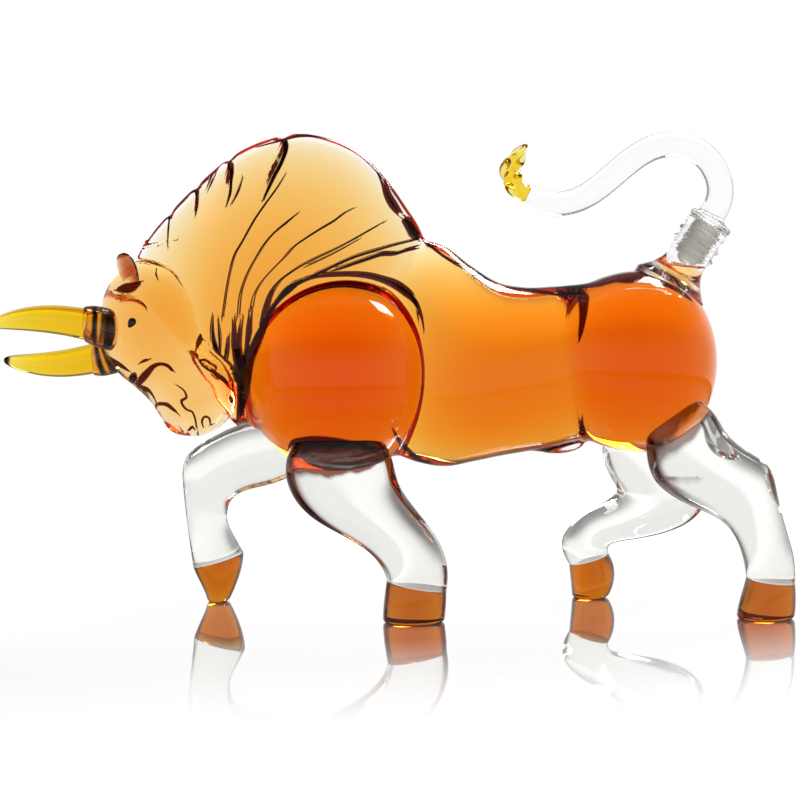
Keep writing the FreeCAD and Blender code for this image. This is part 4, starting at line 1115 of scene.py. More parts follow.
# %% Leg tables
LEG_HALF_DEPTH, LEG_HALF_WIDTH, HOOF_HALF_WIDTH, HOOF_SPLAY = 22.5, 12.0, 10.6, 4.5
LEG_SHARES = {
    "front_left": [
        (0.00, 1.000, 0.50, 0.60, 0.0), (0.00, 0.880, 0.82, 0.85, 0.0), (0.00, 0.772, 0.99, 0.97, 0.0),
        (0.07, 0.640, 0.99, 1.00, 2.7), (0.33, 0.515, 0.97, 0.98, 2.7), (0.66, 0.415, 0.81, 0.93, 1.3),
        (0.90, 0.320, 0.67, 0.88, -2.4), (1.01, 0.227, 0.58, 0.86, -4.0),
        (1.00, 0.173, 0.555, 0.86, -10.7)],
    "front_right": [
        (-0.23, 0.940, 0.30, 0.50, -54.0), (-0.37, 0.850, 0.44, 0.70, -54.0),
        (-0.49, 0.790, 0.60, 0.88, -56.0), (-0.685, 0.752, 0.65, 0.94, -64.0),
        (-0.89, 0.706, 0.60, 0.94, -59.0), (-1.06, 0.635, 0.61, 0.90, -45.0),
        (-1.09, 0.535, 0.52, 0.84, -36.0), (-1.08, 0.417, 0.43, 0.80, -18.0),
        (-1.03, 0.306, 0.48, 0.82, -5.5), (-1.00, 0.213, 0.507, 0.84, 16.0)],
    "rear_left": [
        (0.20, 1.000, 0.40, 0.60, 14.0), (0.25, 0.930, 0.66, 0.82, 16.0), (0.293, 0.797, 0.75, 0.98, 22.0),
        (0.453, 0.690, 0.86, 1.00, 22.0), (0.679, 0.610, 0.79, 0.96, 27.0),
        (0.832, 0.510, 0.54, 0.90, 25.0), (0.945, 0.360, 0.45, 0.86, 12.0), (1.00, 0.252, 0.465, 0.86, 4.6),
        (1.00, 0.175, 0.444, 0.86, -7.0)],
    "rear_right": [
        (-0.12, 0.985, 0.30, 0.45, 0.0), (-0.18, 0.892, 0.38, 0.60, 2.0), (-0.22, 0.763, 0.50, 0.86, 6.0),
        (0.20, 0.630, 0.72, 0.98, 8.0), (0.52, 0.510, 0.86, 1.00, -6.0), (0.17, 0.418, 0.78, 0.98, -19.0),
        (-0.46, 0.358, 0.59, 0.92, -24.0), (-0.95, 0.310, 0.50, 0.88, -14.0),
        (-1.12, 0.252, 0.47, 0.86, 3.0), (-1.00, 0.194, 0.391, 0.86, 16.0)]}
HOOF_SHARES = {
    "front_left": [(-0.02, 0.120, 0.570, 0.98, -8.0), (-0.05, 0.050, 0.580, 1.00, -3.0),
        (-0.06, 0.000, 0.560, 0.96, 0.0)],
    "front_right": [(0.06, 0.150, 0.480, 0.96, 22.0), (0.08, 0.070, 0.330, 0.86, 20.0),
        (-0.02, 0.000, 0.210, 0.66, 0.0)],
    "rear_left": [(-0.02, 0.120, 0.480, 0.98, -5.0), (-0.08, 0.050, 0.540, 1.00, -2.0),
        (-0.10, 0.000, 0.520, 0.96, 0.0)],
    "rear_right": [(0.08, 0.140, 0.450, 0.96, 14.0), (0.13, 0.060, 0.460, 0.96, 12.0),
        (0.02, 0.000, 0.340, 0.80, 0.0)]}
STRIDES = {"front_left": 31.3, "front_right": 54.6, "rear_left": 49.0, "rear_right": 21.0}
HIPS = {"front": CHEST - UP * (0.354 * CHEST_RADIUS), "rear": RUMP - UP * (0.424 * RUMP_RADIUS)}
SPREADS = {"front": 0.5283 * CHEST_RADIUS, "rear": 0.5628 * RUMP_RADIUS}
SOLE_ROUND = 1.6


def limb_rows(name):
    """Oval rows of a leg from the hip to the ankle, and of its hoof from the ankle to the sole."""
    end, hand = name.split("_")[0], -1.0 if name.endswith("left") else 1.0
    hip, out = HIPS[end], hand * SPREADS[end]
    stride, splay = STRIDES[name], hand * HOOF_SPLAY
    leg = [ring(np.array([hip[0] + reach * stride, out + splay * (1 - height), height * hip[2]]),
                heading(tilt), depth * LEG_HALF_DEPTH, width * LEG_HALF_WIDTH)
           for reach, height, depth, width, tilt in LEG_SHARES[name]]
    ankle = leg[-1].mean(0)
    hoof = [leg[-1]] + [
        ring(np.array([ankle[0] + shift * LEG_HALF_DEPTH, out + splay, height * hip[2]]),
             heading(tilt), depth * LEG_HALF_DEPTH, width * HOOF_HALF_WIDTH)
        for shift, height, depth, width, tilt in HOOF_SHARES[name]]
    return leg, hoof


def sole_rounded(grid):
    """Hoof rows drawn in near the ground by a quarter circle, as fire-polished edges are."""
    low = np.clip(SOLE_ROUND - grid[..., 2], 0, SOLE_ROUND)
    draw = SOLE_ROUND - np.sqrt(SOLE_ROUND ** 2 - low ** 2)
    out = grid - grid.mean(1, keepdims=True)
    out[..., 2] = 0
    size = np.maximum(np.linalg.norm(out, axis=-1), 1e-6)
    return grid - out / size[..., None] * draw[..., None]


print("legs:", list(LEG_SHARES))

# %% Painted brown of the near legs, for the spirit's colour seen through them
# Share of painted shade on the weld cap of each leg
LEG_WELD_SHADE = {"front_left": 1.0, "rear_left": 0.12}
# Most brown, heights at which the stripe has faded and at which it is full, and how far the fringe reaches
LEG_SPIRIT_BROWN = {"front_left": (1.0, 14.0, 24.0, 6.0), "rear_left": (0.95, 44.0, 54.0, 13.0)}
STRIPE_START, STRIPE_SOFT, FRINGE_FULL = 0.74, 0.10, 2.5


def leg_spirit_brown(points, rows, name):
    """Share of painted brown on a leg, for the spirit's colour seen through it: a stripe on its front edge
    that fades downwards, and a fringe at its weld.
    """
    if name not in LEG_SPIRIT_BROWN:
        return np.zeros(len(points))
    most, low, high, deep = LEG_SPIRIT_BROWN[name]
    ahead = rows[..., 0].mean(1, keepdims=True) - rows[..., 0]
    ahead = ahead / np.maximum(np.abs(ahead).max(1, keepdims=True), 1e-6)
    ahead = np.append(ahead[1:-1], [0.0, 0.0])
    fade = np.clip((points[:, 2] - low) / (high - low), 0, 1)
    stripe = np.clip((ahead - STRIPE_START) / STRIPE_SOFT, 0, 1) * fade
    ragged = 0.5 * np.sin(0.55 * points[:, 0]) + 0.25 * np.sin(1.3 * points[:, 0] + 1.0)
    under = np.maximum(vessel(points, 0.0), 0) + ragged
    reach = 1.0 + (deep - 1.0) * (0.5 + 0.5 * ahead) ** 1.5
    fringe = np.clip(FRINGE_FULL - FRINGE_FULL * under / reach, 0, 1)
    return most * np.maximum(stripe, fringe)


print("brown legs:", list(LEG_SPIRIT_BROWN))

# %% Legs and hooves
LEG_AROUND, LEG_GRID, LEG_ROWS, HOOF_ROWS = 96, 400, 110, 60
TUCK_SHARE, TUCK_DEPTH = 0.985, 0.4
for name in LEG_SHARES:
    leg_rows, hoof_rows = limb_rows(name)
    rod = welded_rod(skin(leg_rows, np.linspace(0, 1, LEG_GRID), LEG_AROUND), LEG_ROWS)
    ankle = rod[-1]
    tuck = ankle.mean(0) + (ankle - ankle.mean(0)) * TUCK_SHARE - UP * TUCK_DEPTH
    rows = np.concatenate([rod, tuck[None], fan_cap(tuck)])
    points, faces = rows_mesh(rows)
    limb = piece(name + "_rod", points, faces, leg_glass, "decanter", (name + "_leg",), sharp=50)
    in_vessel = vessel(points, 0.0) < -CAP_DEPTH
    refinish(limb, weld_glass, np.concatenate([in_vessel[block].all(1) for block in faces]))
    # Painted shade on the weld caps, and painted brown for the spirit's colour seen through the near legs
    paint(limb, "weld", np.full(len(points), LEG_WELD_SHADE.get(name, 0.0)))
    paint(limb, "warm", leg_spirit_brown(points, rows, name))
    share = 1 - np.linspace(1, 0, HOOF_ROWS) ** 1.8
    hoof = sole_rounded(skin(hoof_rows, share, LEG_AROUND))
    points, faces = rows_mesh(np.concatenate([fan_cap(hoof[0])[::-1], hoof, fan_cap(hoof[-1])]))
    piece(name + "_amber", points, faces, hoof_glass, "decanter", (name + "_hoof",), sharp=50)

# %% [markdown]
# ## Horns, collars, ears and eyes
# They are made on the level head and rolled with it. A horn is a bowed tapering rod; its collar is a ring of
# brown glass round its root; an ear is a leaf whose open face is pressed in; an eye is a drop of black glass.

# %% Horns and collars
HORN_LENGTH, HORN_RADIUS, HORN_SPACING, HORN_BOW = 48.0, 6.7, 19.0, 9.0
HORN_ROOT = on_head(0.345, 0.82)
HORN_AROUND, HORN_GRID, HORN_ROWS = 64, 300, 90
COLLAR_LIP, COLLAR_OVERLAP, COLLAR_GRID, COLLAR_ROWS = 2.0, 0.15, 200, 30
HANDS = {"left": -1.0, "right": 1.0}
# Length of the dark tip of each horn; only the far horn has one
HORN_TIPS = {"left": 0.0, "right": 3.8}
HORN_SHARES = [
    (-0.34, 0.78), (-0.17, 0.94), (0.00, 1.00), (0.16, 0.98), (0.32, 0.93), (0.48, 0.86), (0.64, 0.76),
    (0.78, 0.62), (0.90, 0.45), (0.97, 0.29), (1.00, 0.16)]
COLLAR_SHARES = [
    (-0.26, 0.40), (-0.14, 0.75), (-0.03, 1.00), (0.04, 1.00), (0.10, 0.95), (0.16, 0.70), (0.20, 0.25)]


def horn_ring(hand, place, radius):
    """Ring about the horn's bowed line, at a share of its length."""
    bow = HORN_BOW * math.sin(math.pi * place * 0.80)
    centre = HORN_ROOT - np.array([place * HORN_LENGTH, 0, 0]) + SIDE * (hand * (HORN_SPACING / 2 + bow))
    return ring(centre, UP, radius, radius)


for side, hand in HANDS.items():
    rows = [horn_ring(hand, p, r * HORN_RADIUS) for p, r in HORN_SHARES]
    horn = rolled(skin(rows, np.linspace(0, 1, HORN_GRID), HORN_AROUND, end_tip=True))
    horn_rows = welded_rod(horn, HORN_ROWS)
    horn_rows[-1] = horn_rows[-1].mean(0)
    points, faces = rows_mesh(horn_rows)
    rod = piece(side + "_horn_rod", points, faces, horn_glass, "decanter", (side + "_horn",),
                sharp=60)
    paint(rod, "tip", np.clip(HORN_TIPS[side] - np.linalg.norm(points - horn_rows[-1, 0], axis=1), 0, 1))
    lip = [horn_ring(hand, p, HORN_RADIUS + h * COLLAR_LIP) for p, h in COLLAR_SHARES]
    core = [horn_ring(hand, p, HORN_RADIUS * np.interp(p, *zip(*HORN_SHARES)) - COLLAR_OVERLAP)
            for p, _ in COLLAR_SHARES]
    outer, inner = (rolled(skin(r, np.linspace(0, 1, COLLAR_GRID), HORN_AROUND)) for r in (lip, core))
    start = weld_rows(outer, WELD_DEPTH)
    at = start + (COLLAR_GRID - 1 - start) * np.linspace(0, 1, COLLAR_ROWS)[:, None]
    points, faces = rows_mesh(np.concatenate([along_grid(outer, at), along_grid(inner, at)[::-1]]), loop=True)
    collar = piece(side + "_collar_ring", points, faces, collar_glass, "decanter",
                   (side + "_horn_collar",), sharp=50)
    place = np.concatenate([np.linspace(0, 1, COLLAR_ROWS), np.linspace(1, 0, COLLAR_ROWS)])
    paint(collar, "collar_place", np.repeat(place, HORN_AROUND))

# %% Ears
EAR_LENGTH, EAR_HALF_WIDTH, EAR_HALF_THICKNESS, EAR_SPACING = 16.5, 4.6, 2.7, 24.0
EAR_ROOT = on_head(0.19, 0.16)
EAR_AROUND, EAR_GRID, EAR_ROWS = 64, 240, 60
EAR_SHIFTS = {"left": -6.0, "right": 0.0}
EAR_GLASSES = {"left": ear_glass, "right": far_ear_glass}
EAR_SHARES = np.array([(0.00, 0.50, 0.80), (0.20, 0.70, 0.90), (0.40, 0.92, 1.00), (0.62, 1.00, 1.00),
                       (0.82, 0.86, 0.85), (0.95, 0.55, 0.60), (1.00, 0.28, 0.35)])


def ear_rows(hand):
    """Leaf of crescents: the back is round, and the open face is pressed in from near the root to the tip."""
    root = EAR_ROOT + SIDE * (hand * EAR_SPACING / 2)
    along = unit(np.array([-0.34, hand * 0.52, 0.78]))
    face = np.array([-0.55, hand * 0.80, -0.20])
    face = unit(face - along * (face @ along))
    across = np.cross(along, face)
    place = 1 - np.linspace(1, 0, EAR_GRID) ** 1.5
    width = through(EAR_SHARES[:, 0], EAR_SHARES[:, 1], place) * EAR_HALF_WIDTH
    thick = through(EAR_SHARES[:, 0], EAR_SHARES[:, 2], place) * EAR_HALF_THICKNESS
    turn = turns(EAR_AROUND)
    open_face = np.clip((place - 0.15) / 0.25, 0, 1) * np.clip((1.0 - place) / 0.12, 0, 1)
    front = np.sin(turn) > 0
    depth = np.sin(turn)[None] * thick[:, None] * np.where(front[None], 1 - 1.55 * open_face[:, None], 1)
    return (root + place[:, None, None] * EAR_LENGTH * along
            + np.cos(turn)[None, :, None] * width[:, None, None] * across + depth[..., None] * face)


for side, hand in HANDS.items():
    leaf = welded_rod(rolled(ear_rows(hand)) + SIDE * EAR_SHIFTS[side], EAR_ROWS, EAR_WELD_DEPTH)
    points, faces = rows_mesh(np.concatenate([leaf, fan_cap(leaf[-1])]))
    piece(side + "_ear_leaf", points, faces, EAR_GLASSES[side], "decanter", (side + "_ear",),
          sharp=60)

# %% Eyes
EYE_RADIUS, EYE_HALF_HEIGHT, EYE_SINK = 1.75, 1.1, 0.2
EYE_TAIL, EYE_TAIL_TURN, EYE_TAIL_WIDTH = 0.55, 4.2, 0.5
for side in HANDS:
    low, high = (np.array(v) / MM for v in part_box(side + "_eye"))
    middle = (low + high) / 2
    turn = turns(40)
    rise = np.pi * np.linspace(0, 1, 24)
    tail = 1 + EYE_TAIL * np.exp(-((turn - EYE_TAIL_TURN) / EYE_TAIL_WIDTH) ** 2)
    radius = EYE_RADIUS * np.sin(rise)[:, None] * tail[None]
    out = unit(slope(lambda p: vessel(p, 0.0), middle[None])[0])
    across = unit(np.cross(UP, out))
    upward = np.cross(out, across)
    drop = (middle - EYE_SINK * out - EYE_HALF_HEIGHT * np.cos(rise)[:, None, None] * out
            + (radius * np.cos(turn))[..., None] * across + (radius * np.sin(turn))[..., None] * upward)
    points, faces = rows_mesh(drop)
    piece(side + "_eye_bead", points, faces, eye_black, "decanter", (side + "_eye",))

# %% [markdown]
# ## Neck, seal and tail
# The neck is a lathe-turned tube whose outside carries a drawn thread. Its foot flares onto the rump, and its
# hollow is closed below by the surface of the spirit. The seal is a ribbed sleeve. The stopper is one solid
# piece: plug, flange and the curved tail rod.

# %% Neck
NECK_RADIUS, NECK_FLARE, NECK_FLARE_TOP, RIM_RADIUS, RIM_LENGTH = 8.8, 3.4, 44.0, 9.4, 3.0
THREAD_PITCH, THREAD_RISE = 4.6, 1.35
NECK_LOW, NECK_GRID, NECK_ROWS = 28.0, 400, 110
RIM_ROUND, RIM_POWER = 0.9, 0.45
NECK_TURN = turns(128)


def neck_radius(along, turn):
    """Outside of the neck: flare at the foot, two turns of thread, and a rolled rim."""
    flare = NECK_FLARE * np.clip((NECK_FLARE_TOP - along) / 6.8, 0, 1.6) ** 1.6
    phase = (along - (RIM_TOP - 5.0)) / THREAD_PITCH + turn / (2 * np.pi)
    crest = np.exp(-((phase - np.round(phase)) * THREAD_PITCH / 1.0) ** 2)
    run = np.clip((along - (RIM_TOP - 14.5)) / 2.0, 0, 1) * np.clip((RIM_TOP - 3.6 - along) / 1.5, 0, 1)
    rim = (RIM_RADIUS - NECK_RADIUS) * np.clip((along - RIM_TOP + RIM_LENGTH) / 0.8, 0, 1)
    return NECK_RADIUS + flare + THREAD_RISE * crest * run + rim


def about_neck(radius, along):
    """Points at a radius and a place on the neck's axis, all the way round it."""
    radius, along, turn = np.broadcast_arrays(radius, along, NECK_TURN)
    return (NECK_FOOT + along[..., None] * NECK_AXIS + (radius * np.cos(turn))[..., None] * NECK_ACROSS
            + (radius * np.sin(turn))[..., None] * SIDE)


def spirit_surface(radius):
    """Ring of the spirit's level surface in the bore; its edge is drawn up the wall."""
    level = SPIRIT_LEVEL + MENISCUS * math.exp((radius - NECK_BORE) / 1.2)
    along = (level - NECK_FOOT[2] - radius * np.cos(NECK_TURN) * NECK_ACROSS[2]) / NECK_AXIS[2]
    return about_neck(radius, along)


place = np.linspace(NECK_LOW, RIM_TOP - RIM_ROUND, NECK_GRID)[:, None]
outside = about_neck(neck_radius(place, NECK_TURN), place)
bow = np.linspace(0, np.pi, 14)[:, None]
sway = np.sign(np.cos(bow)) * np.abs(np.cos(bow)) ** RIM_POWER
lip_radius = (RIM_RADIUS + NECK_BORE) / 2 + (RIM_RADIUS - NECK_BORE) / 2 * sway
lip = about_neck(lip_radius, RIM_TOP - RIM_ROUND + RIM_ROUND * np.sin(bow) ** RIM_POWER)
hollow = np.linspace(0, 1, 60)[:, None, None]
floor = [spirit_surface(NECK_BORE * share) for share in (1.0, 0.93, 0.80, 0.55, 0.25, 0.0)]
wall = lip[-1] * (1 - hollow) + floor[0] * hollow
points, faces = rows_mesh(np.concatenate([welded_rod(outside, NECK_ROWS), lip[1:], wall[1:], floor[1:]]))
piece("threaded_neck", points, faces, neck_glass, "decanter", ("pour_neck",), sharp=60)

# %% Seal
SEAL_CORE, PLUG_RADIUS, SEAL_COLLAR_RADIUS, SEAL_COLLAR = 6.0, 4.6, 8.9, 1.2
SEAL_PITCH, SEAL_RIBS = 2.3, 6
NECK_GAP, PLUG_GAP, COLLAR_GAP = 0.08, 0.05, 0.02
RING_HEIGHT, RING_PITCH = 0.06, 0.46
SEAL_TOP = RIM_TOP + SEAL_COLLAR
SEAL_LOW = RIM_TOP - SEAL_PITCH * (SEAL_RIBS + 0.5)
rib_place = np.linspace(SEAL_LOW, RIM_TOP, 220)
phase = (rib_place - SEAL_LOW) / SEAL_PITCH % 1.0
rib = np.clip((phase - 0.15) / 0.45, 0, 1) * (phase < 0.80) * np.clip((0.85 - phase) / 0.06, 0, 1)
fine_rings = RING_HEIGHT * np.sin(2 * np.pi * (rib_place - SEAL_LOW) / RING_PITCH)
radius = SEAL_CORE + (NECK_BORE - NECK_GAP - SEAL_CORE) * np.clip(rib + fine_rings, 0, 1)
bore_radius, collar_top = PLUG_RADIUS + PLUG_GAP, SEAL_TOP - COLLAR_GAP
profile = np.array([(bore_radius, SEAL_LOW), *zip(radius, rib_place),
                    (SEAL_COLLAR_RADIUS, RIM_TOP + COLLAR_GAP),
                    (SEAL_COLLAR_RADIUS, collar_top), (bore_radius, collar_top)])
points, faces = rows_mesh(about_neck(profile[:, :1], profile[:, 1:]), loop=True)
piece("ribbed_seal", points, faces, seal_silicone, "seal", ("seal_sleeve",), sharp=30)

# %% Tail stopper
TAIL_RADIUS, TAIL_RISE, TAIL_SWING = 5.3, 34.6, 75.0
FLANGE_RADIUS, FLANGE, FLANGE_ROUND, PLUG_TIP = 9.4, 2.6, 0.9, 4.2
SKIRT_START, SKIRT_SWELL, SKIRT_DROP = 0.6, 1.28, 1.6
TAIL_AROUND, TAIL_GRID = 72, 260
TAIL_SHARES = [
    (0.000, 0.080, 1.10, 57.3), (-0.040, 0.190, 1.08, 66.0), (-0.068, 0.340, 1.06, 80.0),
    (-0.068, 0.520, 1.04, 97.0), (-0.040, 0.690, 1.02, 115.0), (0.010, 0.840, 1.00, 133.0),
    (0.090, 0.955, 1.00, 157.0), (0.185, 1.000, 1.00, 180.0), (0.295, 0.965, 1.00, 202.0),
    (0.400, 0.850, 1.00, 217.0), (0.500, 0.680, 0.99, 221.0), (0.600, 0.500, 0.98, 216.0),
    (0.700, 0.365, 0.97, 205.0), (0.800, 0.300, 0.95, 189.0), (0.890, 0.305, 0.93, 170.0),
    (0.955, 0.355, 0.88, 158.0), (1.000, 0.410, 0.80, 155.0)]
RIM_CENTRE = NECK_FOOT + NECK_AXIS * RIM_TOP


def tail_ring(swing, rise, radius, degrees):
    """Ring of the tail at shares of its swing and rise, across the heading of its line."""
    centre = RIM_CENTRE + np.array([-swing * TAIL_SWING, 0, rise * TAIL_RISE])
    return ring(centre, heading(degrees - 90), radius * TAIL_RADIUS, radius * TAIL_RADIUS)


tail_rows = [tail_ring(*row) for row in TAIL_SHARES]
rod = skin(tail_rows, np.linspace(0, 1, TAIL_GRID), TAIL_AROUND)
turn = turns(TAIL_AROUND)
quarter = np.linspace(0, np.pi / 2, 12)
tip = SEAL_LOW - PLUG_TIP
bend = np.linspace(0, np.pi / 2, 7)
off_sine, off_cosine = FLANGE_ROUND * (1 - np.sin(bend)), FLANGE_ROUND * (1 - np.cos(bend))
plug = np.array([*zip(PLUG_RADIUS * np.sin(quarter), tip + PLUG_TIP * (1 - np.cos(quarter))),
                 *[(PLUG_RADIUS, p) for p in np.linspace(SEAL_LOW, SEAL_TOP, 8)],
                 *zip(FLANGE_RADIUS - off_sine, SEAL_TOP + off_cosine),
                 *zip(FLANGE_RADIUS - off_cosine, SEAL_TOP + FLANGE - off_sine)])
lathe = (NECK_FOOT + plug[:, 1, None, None] * NECK_AXIS
         - (plug[:, :1] * np.cos(turn))[..., None] * NECK_ACROSS
         + (plug[:, :1] * np.sin(turn))[..., None] * SIDE)
lathe[0] = lathe[0].mean(0)
above = ((rod - RIM_CENTRE) @ NECK_AXIS).min(1)
foot = rod[np.argmax(above > SEAL_TOP - RIM_TOP + FLANGE + SKIRT_START):]
rise = np.linspace(1, 0, 8)[1:-1, None, None] ** 2
middle = foot[0].mean(0)
skirt = foot[0] * (1 - rise) + rise * (middle + (foot[0] - middle) * SKIRT_SWELL - NECK_AXIS * SKIRT_DROP)
points, faces = rows_mesh(np.concatenate([lathe, skirt, foot, fan_cap(foot[-1])]))
piece("tail_stopper_rod", points, faces, clear_glass, "tail", ("tail_stopper",), sharp=50)

# %% [markdown]
# ## Tuft
# The tip of the tail is a pinch of yellow glass, twisted while soft into a flame of three lobes.

# %% Tuft
TUFT_RISE, TUFT_SWING, TUFT_HALF_WIDTH, TUFT_HALF_THICKNESS = 21.0, 7.0, 5.4, 3.0
TUFT_LOBES, TUFT_LOBE_DEPTH, TUFT_TWIST, TUFT_ROWS, TUFT_AROUND = 3, 0.26, 330.0, 120, 72
TUFT_SHARES = np.array([
    (0.000, 0.000, 0.78, 1.40, 155.0), (0.620, 0.160, 0.90, 1.00, 138.0), (1.000, 0.360, 1.00, 1.00, 110.0),
    (0.980, 0.540, 0.96, 0.95, 84.0), (0.740, 0.700, 0.80, 0.85, 66.0), (0.420, 0.850, 0.52, 0.65, 62.0),
    (0.160, 0.960, 0.24, 0.35, 64.0), (0.060, 1.000, 0.10, 0.14, 64.0)])


def tuft_rows():
    """Three-lobed rows along the flame, turned as they rise."""
    last = len(TUFT_SHARES) - 1
    step = np.linspace(0, last, TUFT_ROWS)
    shares = (through(np.arange(last + 1.0), column, step) for column in TUFT_SHARES.T)
    swing, rise, width, thick, degrees = shares
    start = tail_rows[-1].mean(0)
    centre = start + np.stack([-swing * TUFT_SWING, 0 * swing, rise * TUFT_RISE], -1)
    lean = np.stack([np.cos(np.radians(degrees - 90)), 0 * degrees, np.sin(np.radians(degrees - 90))], -1)
    turn = turns(TUFT_AROUND)
    twist = np.radians(TUFT_TWIST) * rise[:, None]
    lobes = 1 + TUFT_LOBE_DEPTH * np.cos(TUFT_LOBES * (turn - twist)) * np.clip(step / 1.2, 0, 1)[:, None]
    size = (width * TUFT_HALF_WIDTH * 0.55 + thick * TUFT_HALF_THICKNESS * 0.5)[:, None] * lobes / 1.12
    return (centre[:, None] + (size * np.cos(turn))[..., None] * lean[:, None]
            + (size * np.sin(turn))[..., None] * SIDE)


flame = tuft_rows()
points, faces = rows_mesh(np.concatenate([fan_cap(flame[0])[::-1], flame, fan_cap(flame[-1], (0.6, 0.0))]))
piece("tuft_flame", points, faces, horn_glass, "tail", ("tail_tuft",), sharp=60)

# %% [markdown]
# ## Studio
# The bull stands on a glossy white table in front of a white field. Glass shows only what is round it, so
# light that comes through it finds four white panels with dark gaps between and above them: they draw the
# dark edges of the glass. Reflections find a dark room that is bright behind the bull and near the table.
# Rays from the camera see plain white. The table shines near the bull, and its gloss fades outwards.

# %% World
GAP_LEVEL, ROOM_LEVEL, SKIRTING_LEVEL, DIFFUSE_LEVEL = 0.06, 0.05, 0.65, 0.55
FRONT_PANELS, SIDE_PANELS, BACK_WALL = (0.42, 0.80), (0.26, 0.14), (0.3, 0.9)
TOP_GAP, TOP_LIGHT, SKIRTING, WALL_TOP = (0.60, 0.76), (0.88, 0.96), (0.70, 0.10), (0.22, 0.45)


def ray_kinds(s, *names):
    """Sockets that are 1 for the named kinds of ray."""
    path = s.add("ShaderNodeLightPath").out.node.outputs
    return (Sock(s.tree, path["Is %s Ray" % name]) for name in names)


def studio_world():
    """White for the camera; four white panels for light through the glass; a dim room for reflections."""
    world = bpy.data.worlds.new("studio")
    bpy.context.scene.world = world
    world.use_nodes = True
    tree = world.node_tree
    tree.nodes.clear()
    s = Sock(tree)
    way = s.add("ShaderNodeTexCoord", output="Generated")
    parts = s.add("ShaderNodeSeparateXYZ", None, {0: way}).out.node.outputs
    x, y, z = (Sock(tree, part) for part in parts)
    flat = x.maths("MAXIMUM", x * x + y * y, 0.0001)
    backward = y / flat.maths("SQRT", flat)
    facing = backward.maths("ABSOLUTE", backward)
    panels = GAP_LEVEL + (1.0 - GAP_LEVEL) * (facing.band(*FRONT_PANELS) + facing.band(*SIDE_PANELS))
    through_glass = panels * (1.0 - 0.80 * z.band(*TOP_GAP)) + 0.3 * z.band(*TOP_LIGHT)
    behind = backward.band(*BACK_WALL)
    skirting = ROOM_LEVEL + (SKIRTING_LEVEL - ROOM_LEVEL) * z.band(*SKIRTING)
    in_gloss = (skirting + (1.0 - skirting) * behind) * (1.0 - 0.8 * behind * z.band(*WALL_TOP))
    camera_ray, gloss_ray, glass_ray = ray_kinds(s, "Camera", "Glossy", "Transmission")
    scattered = gloss_ray * in_gloss + (1.0 - gloss_ray) * DIFFUSE_LEVEL
    strength = glass_ray * through_glass + (1.0 - glass_ray) * scattered
    strength = camera_ray + (1.0 - camera_ray) * strength
    shade = s.add("ShaderNodeBackground", None, {"Color": WHITE, "Strength": strength})
    output = tree.nodes.new("ShaderNodeOutputWorld")
    tree.links.new(shade.out, output.inputs["Surface"])


studio_world()
print("studio world ready")

# %% Table
TABLE_RADIUS, TABLE_DROP = 620.0, 0.05
TABLE_GREY = (0.93, 0.93, 0.93, 1.0)
GLOW_START, GLOW_FULL, GLOW_SHARE, GLOW_DIM = 0.30, 0.56, 0.72, 0.93
GLOSS_NARROW, GLOSS_NEAR, GLOSS_FAR, GLOSS_MOST = (0.35, 1.0, 1.0), (0.215, 0.03), (0.60, 0.42), 0.95


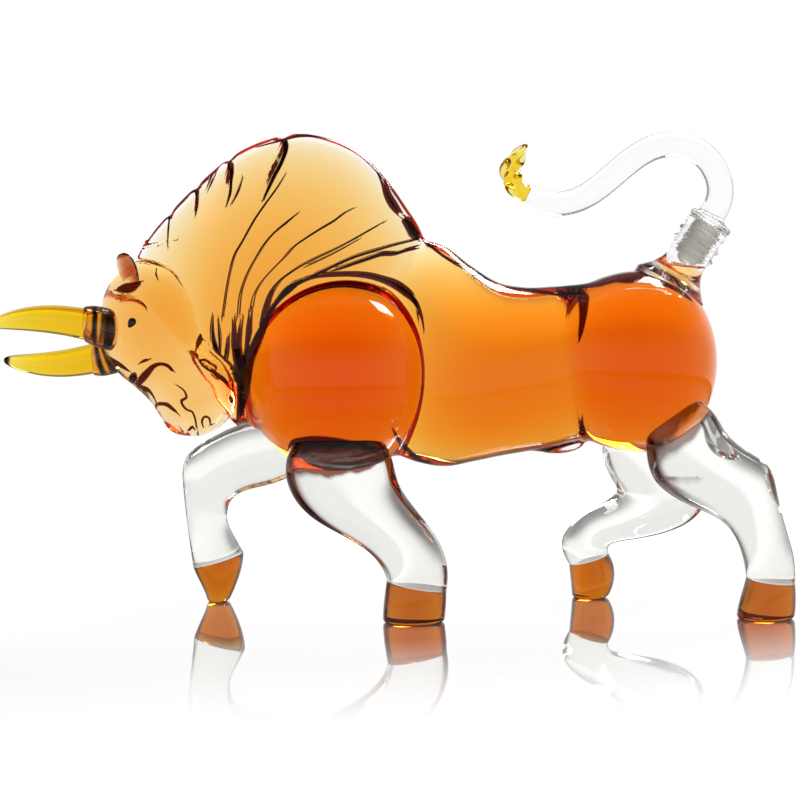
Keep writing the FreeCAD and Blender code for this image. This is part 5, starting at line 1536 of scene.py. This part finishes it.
def table_finish():
    """White table: partly lit and partly glowing, with a gloss that dies out away from the bull."""
    material, s = finish_start("white_table")
    place = s.add("ShaderNodeTexCoord", output="Object")
    away = s.add("ShaderNodeVectorMath", {"operation": "LENGTH"}, {0: place}, output=1)
    narrow = s.add("ShaderNodeVectorMath", {"operation": "MULTIPLY"}, {0: place, 1: GLOSS_NARROW})
    reach = s.add("ShaderNodeVectorMath", {"operation": "LENGTH"}, {0: narrow}, output=1)
    grain = s.noise(30.0, 3.0)
    lit = s.add("ShaderNodeBsdfDiffuse", None, {"Color": TABLE_GREY})
    gloss_ray, glass_ray = ray_kinds(s, "Glossy", "Transmission")
    dim = 1.0 - GLOW_DIM * gloss_ray * (1.0 - glass_ray)
    white = s.add("ShaderNodeEmission", None, {"Color": WHITE, "Strength": dim})
    glow = GLOW_SHARE + (1.0 - GLOW_SHARE) * away.band(GLOW_START, GLOW_FULL)
    base = s.add("ShaderNodeMixShader", None, {0: glow, 1: lit, 2: white})
    mirror = s.add("ShaderNodeBsdfGlossy", None, {"Color": WHITE, "Roughness": 0.02 + 0.02 * grain})
    fresnel = s.add("ShaderNodeFresnel", None, {"IOR": 1.45})
    gloss = 1.02 * fresnel * reach.band(*GLOSS_NEAR) * away.band(*GLOSS_FAR)
    gloss = gloss.maths("MINIMUM", gloss, GLOSS_MOST)
    return finish_end(material, s.add("ShaderNodeMixShader", None, {0: gloss, 1: base, 2: mirror}))


turn = turns(96)
edge = np.stack([np.cos(turn), np.sin(turn), 0 * turn], -1)
table_rows = np.stack([edge * TABLE_RADIUS * share for share in (1.0, 0.75, 0.5, 0.25, 0.0)]) - UP * TABLE_DROP
points, faces = rows_mesh(table_rows)
table = mesh_object("table", points, faces, table_finish())
table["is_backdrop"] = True
print("table of", TABLE_RADIUS, "mm radius")

# %% One soft lamp above and behind, which faces the bull
LAMP_PLACE, LAMP_AIM = np.array([0.42, 0.50, 0.84]), np.array([0, 0, 0.09])
LAMP_SIZE, LAMP_POWER = (0.55, 0.40), 14.0
lamp_data = bpy.data.lights.new("top_softbox", "AREA")
lamp_data.shape = "RECTANGLE"
lamp_data.size, lamp_data.size_y = LAMP_SIZE
lamp_data.energy = LAMP_POWER
lamp = bpy.data.objects.new("top_softbox", lamp_data)
bpy.context.scene.collection.objects.link(lamp)
lamp.location = LAMP_PLACE
away = LAMP_PLACE - LAMP_AIM
lamp.rotation_euler = (math.atan2(math.hypot(away[0], away[1]), away[2]), 0, math.atan2(away[0], -away[1]))
print("lamp at", [round(v, 3) for v in lamp.location])

# %% Render settings that glass needs, and the sizes
scene = bpy.context.scene
scene.view_settings.view_transform = "Standard"
scene.cycles.max_bounces = 24
scene.cycles.transmission_bounces = 24
scene.cycles.glossy_bounces = 12
low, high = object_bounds()
print("box", [round(v, 4) for v in low], [round(v, 4) for v in high])
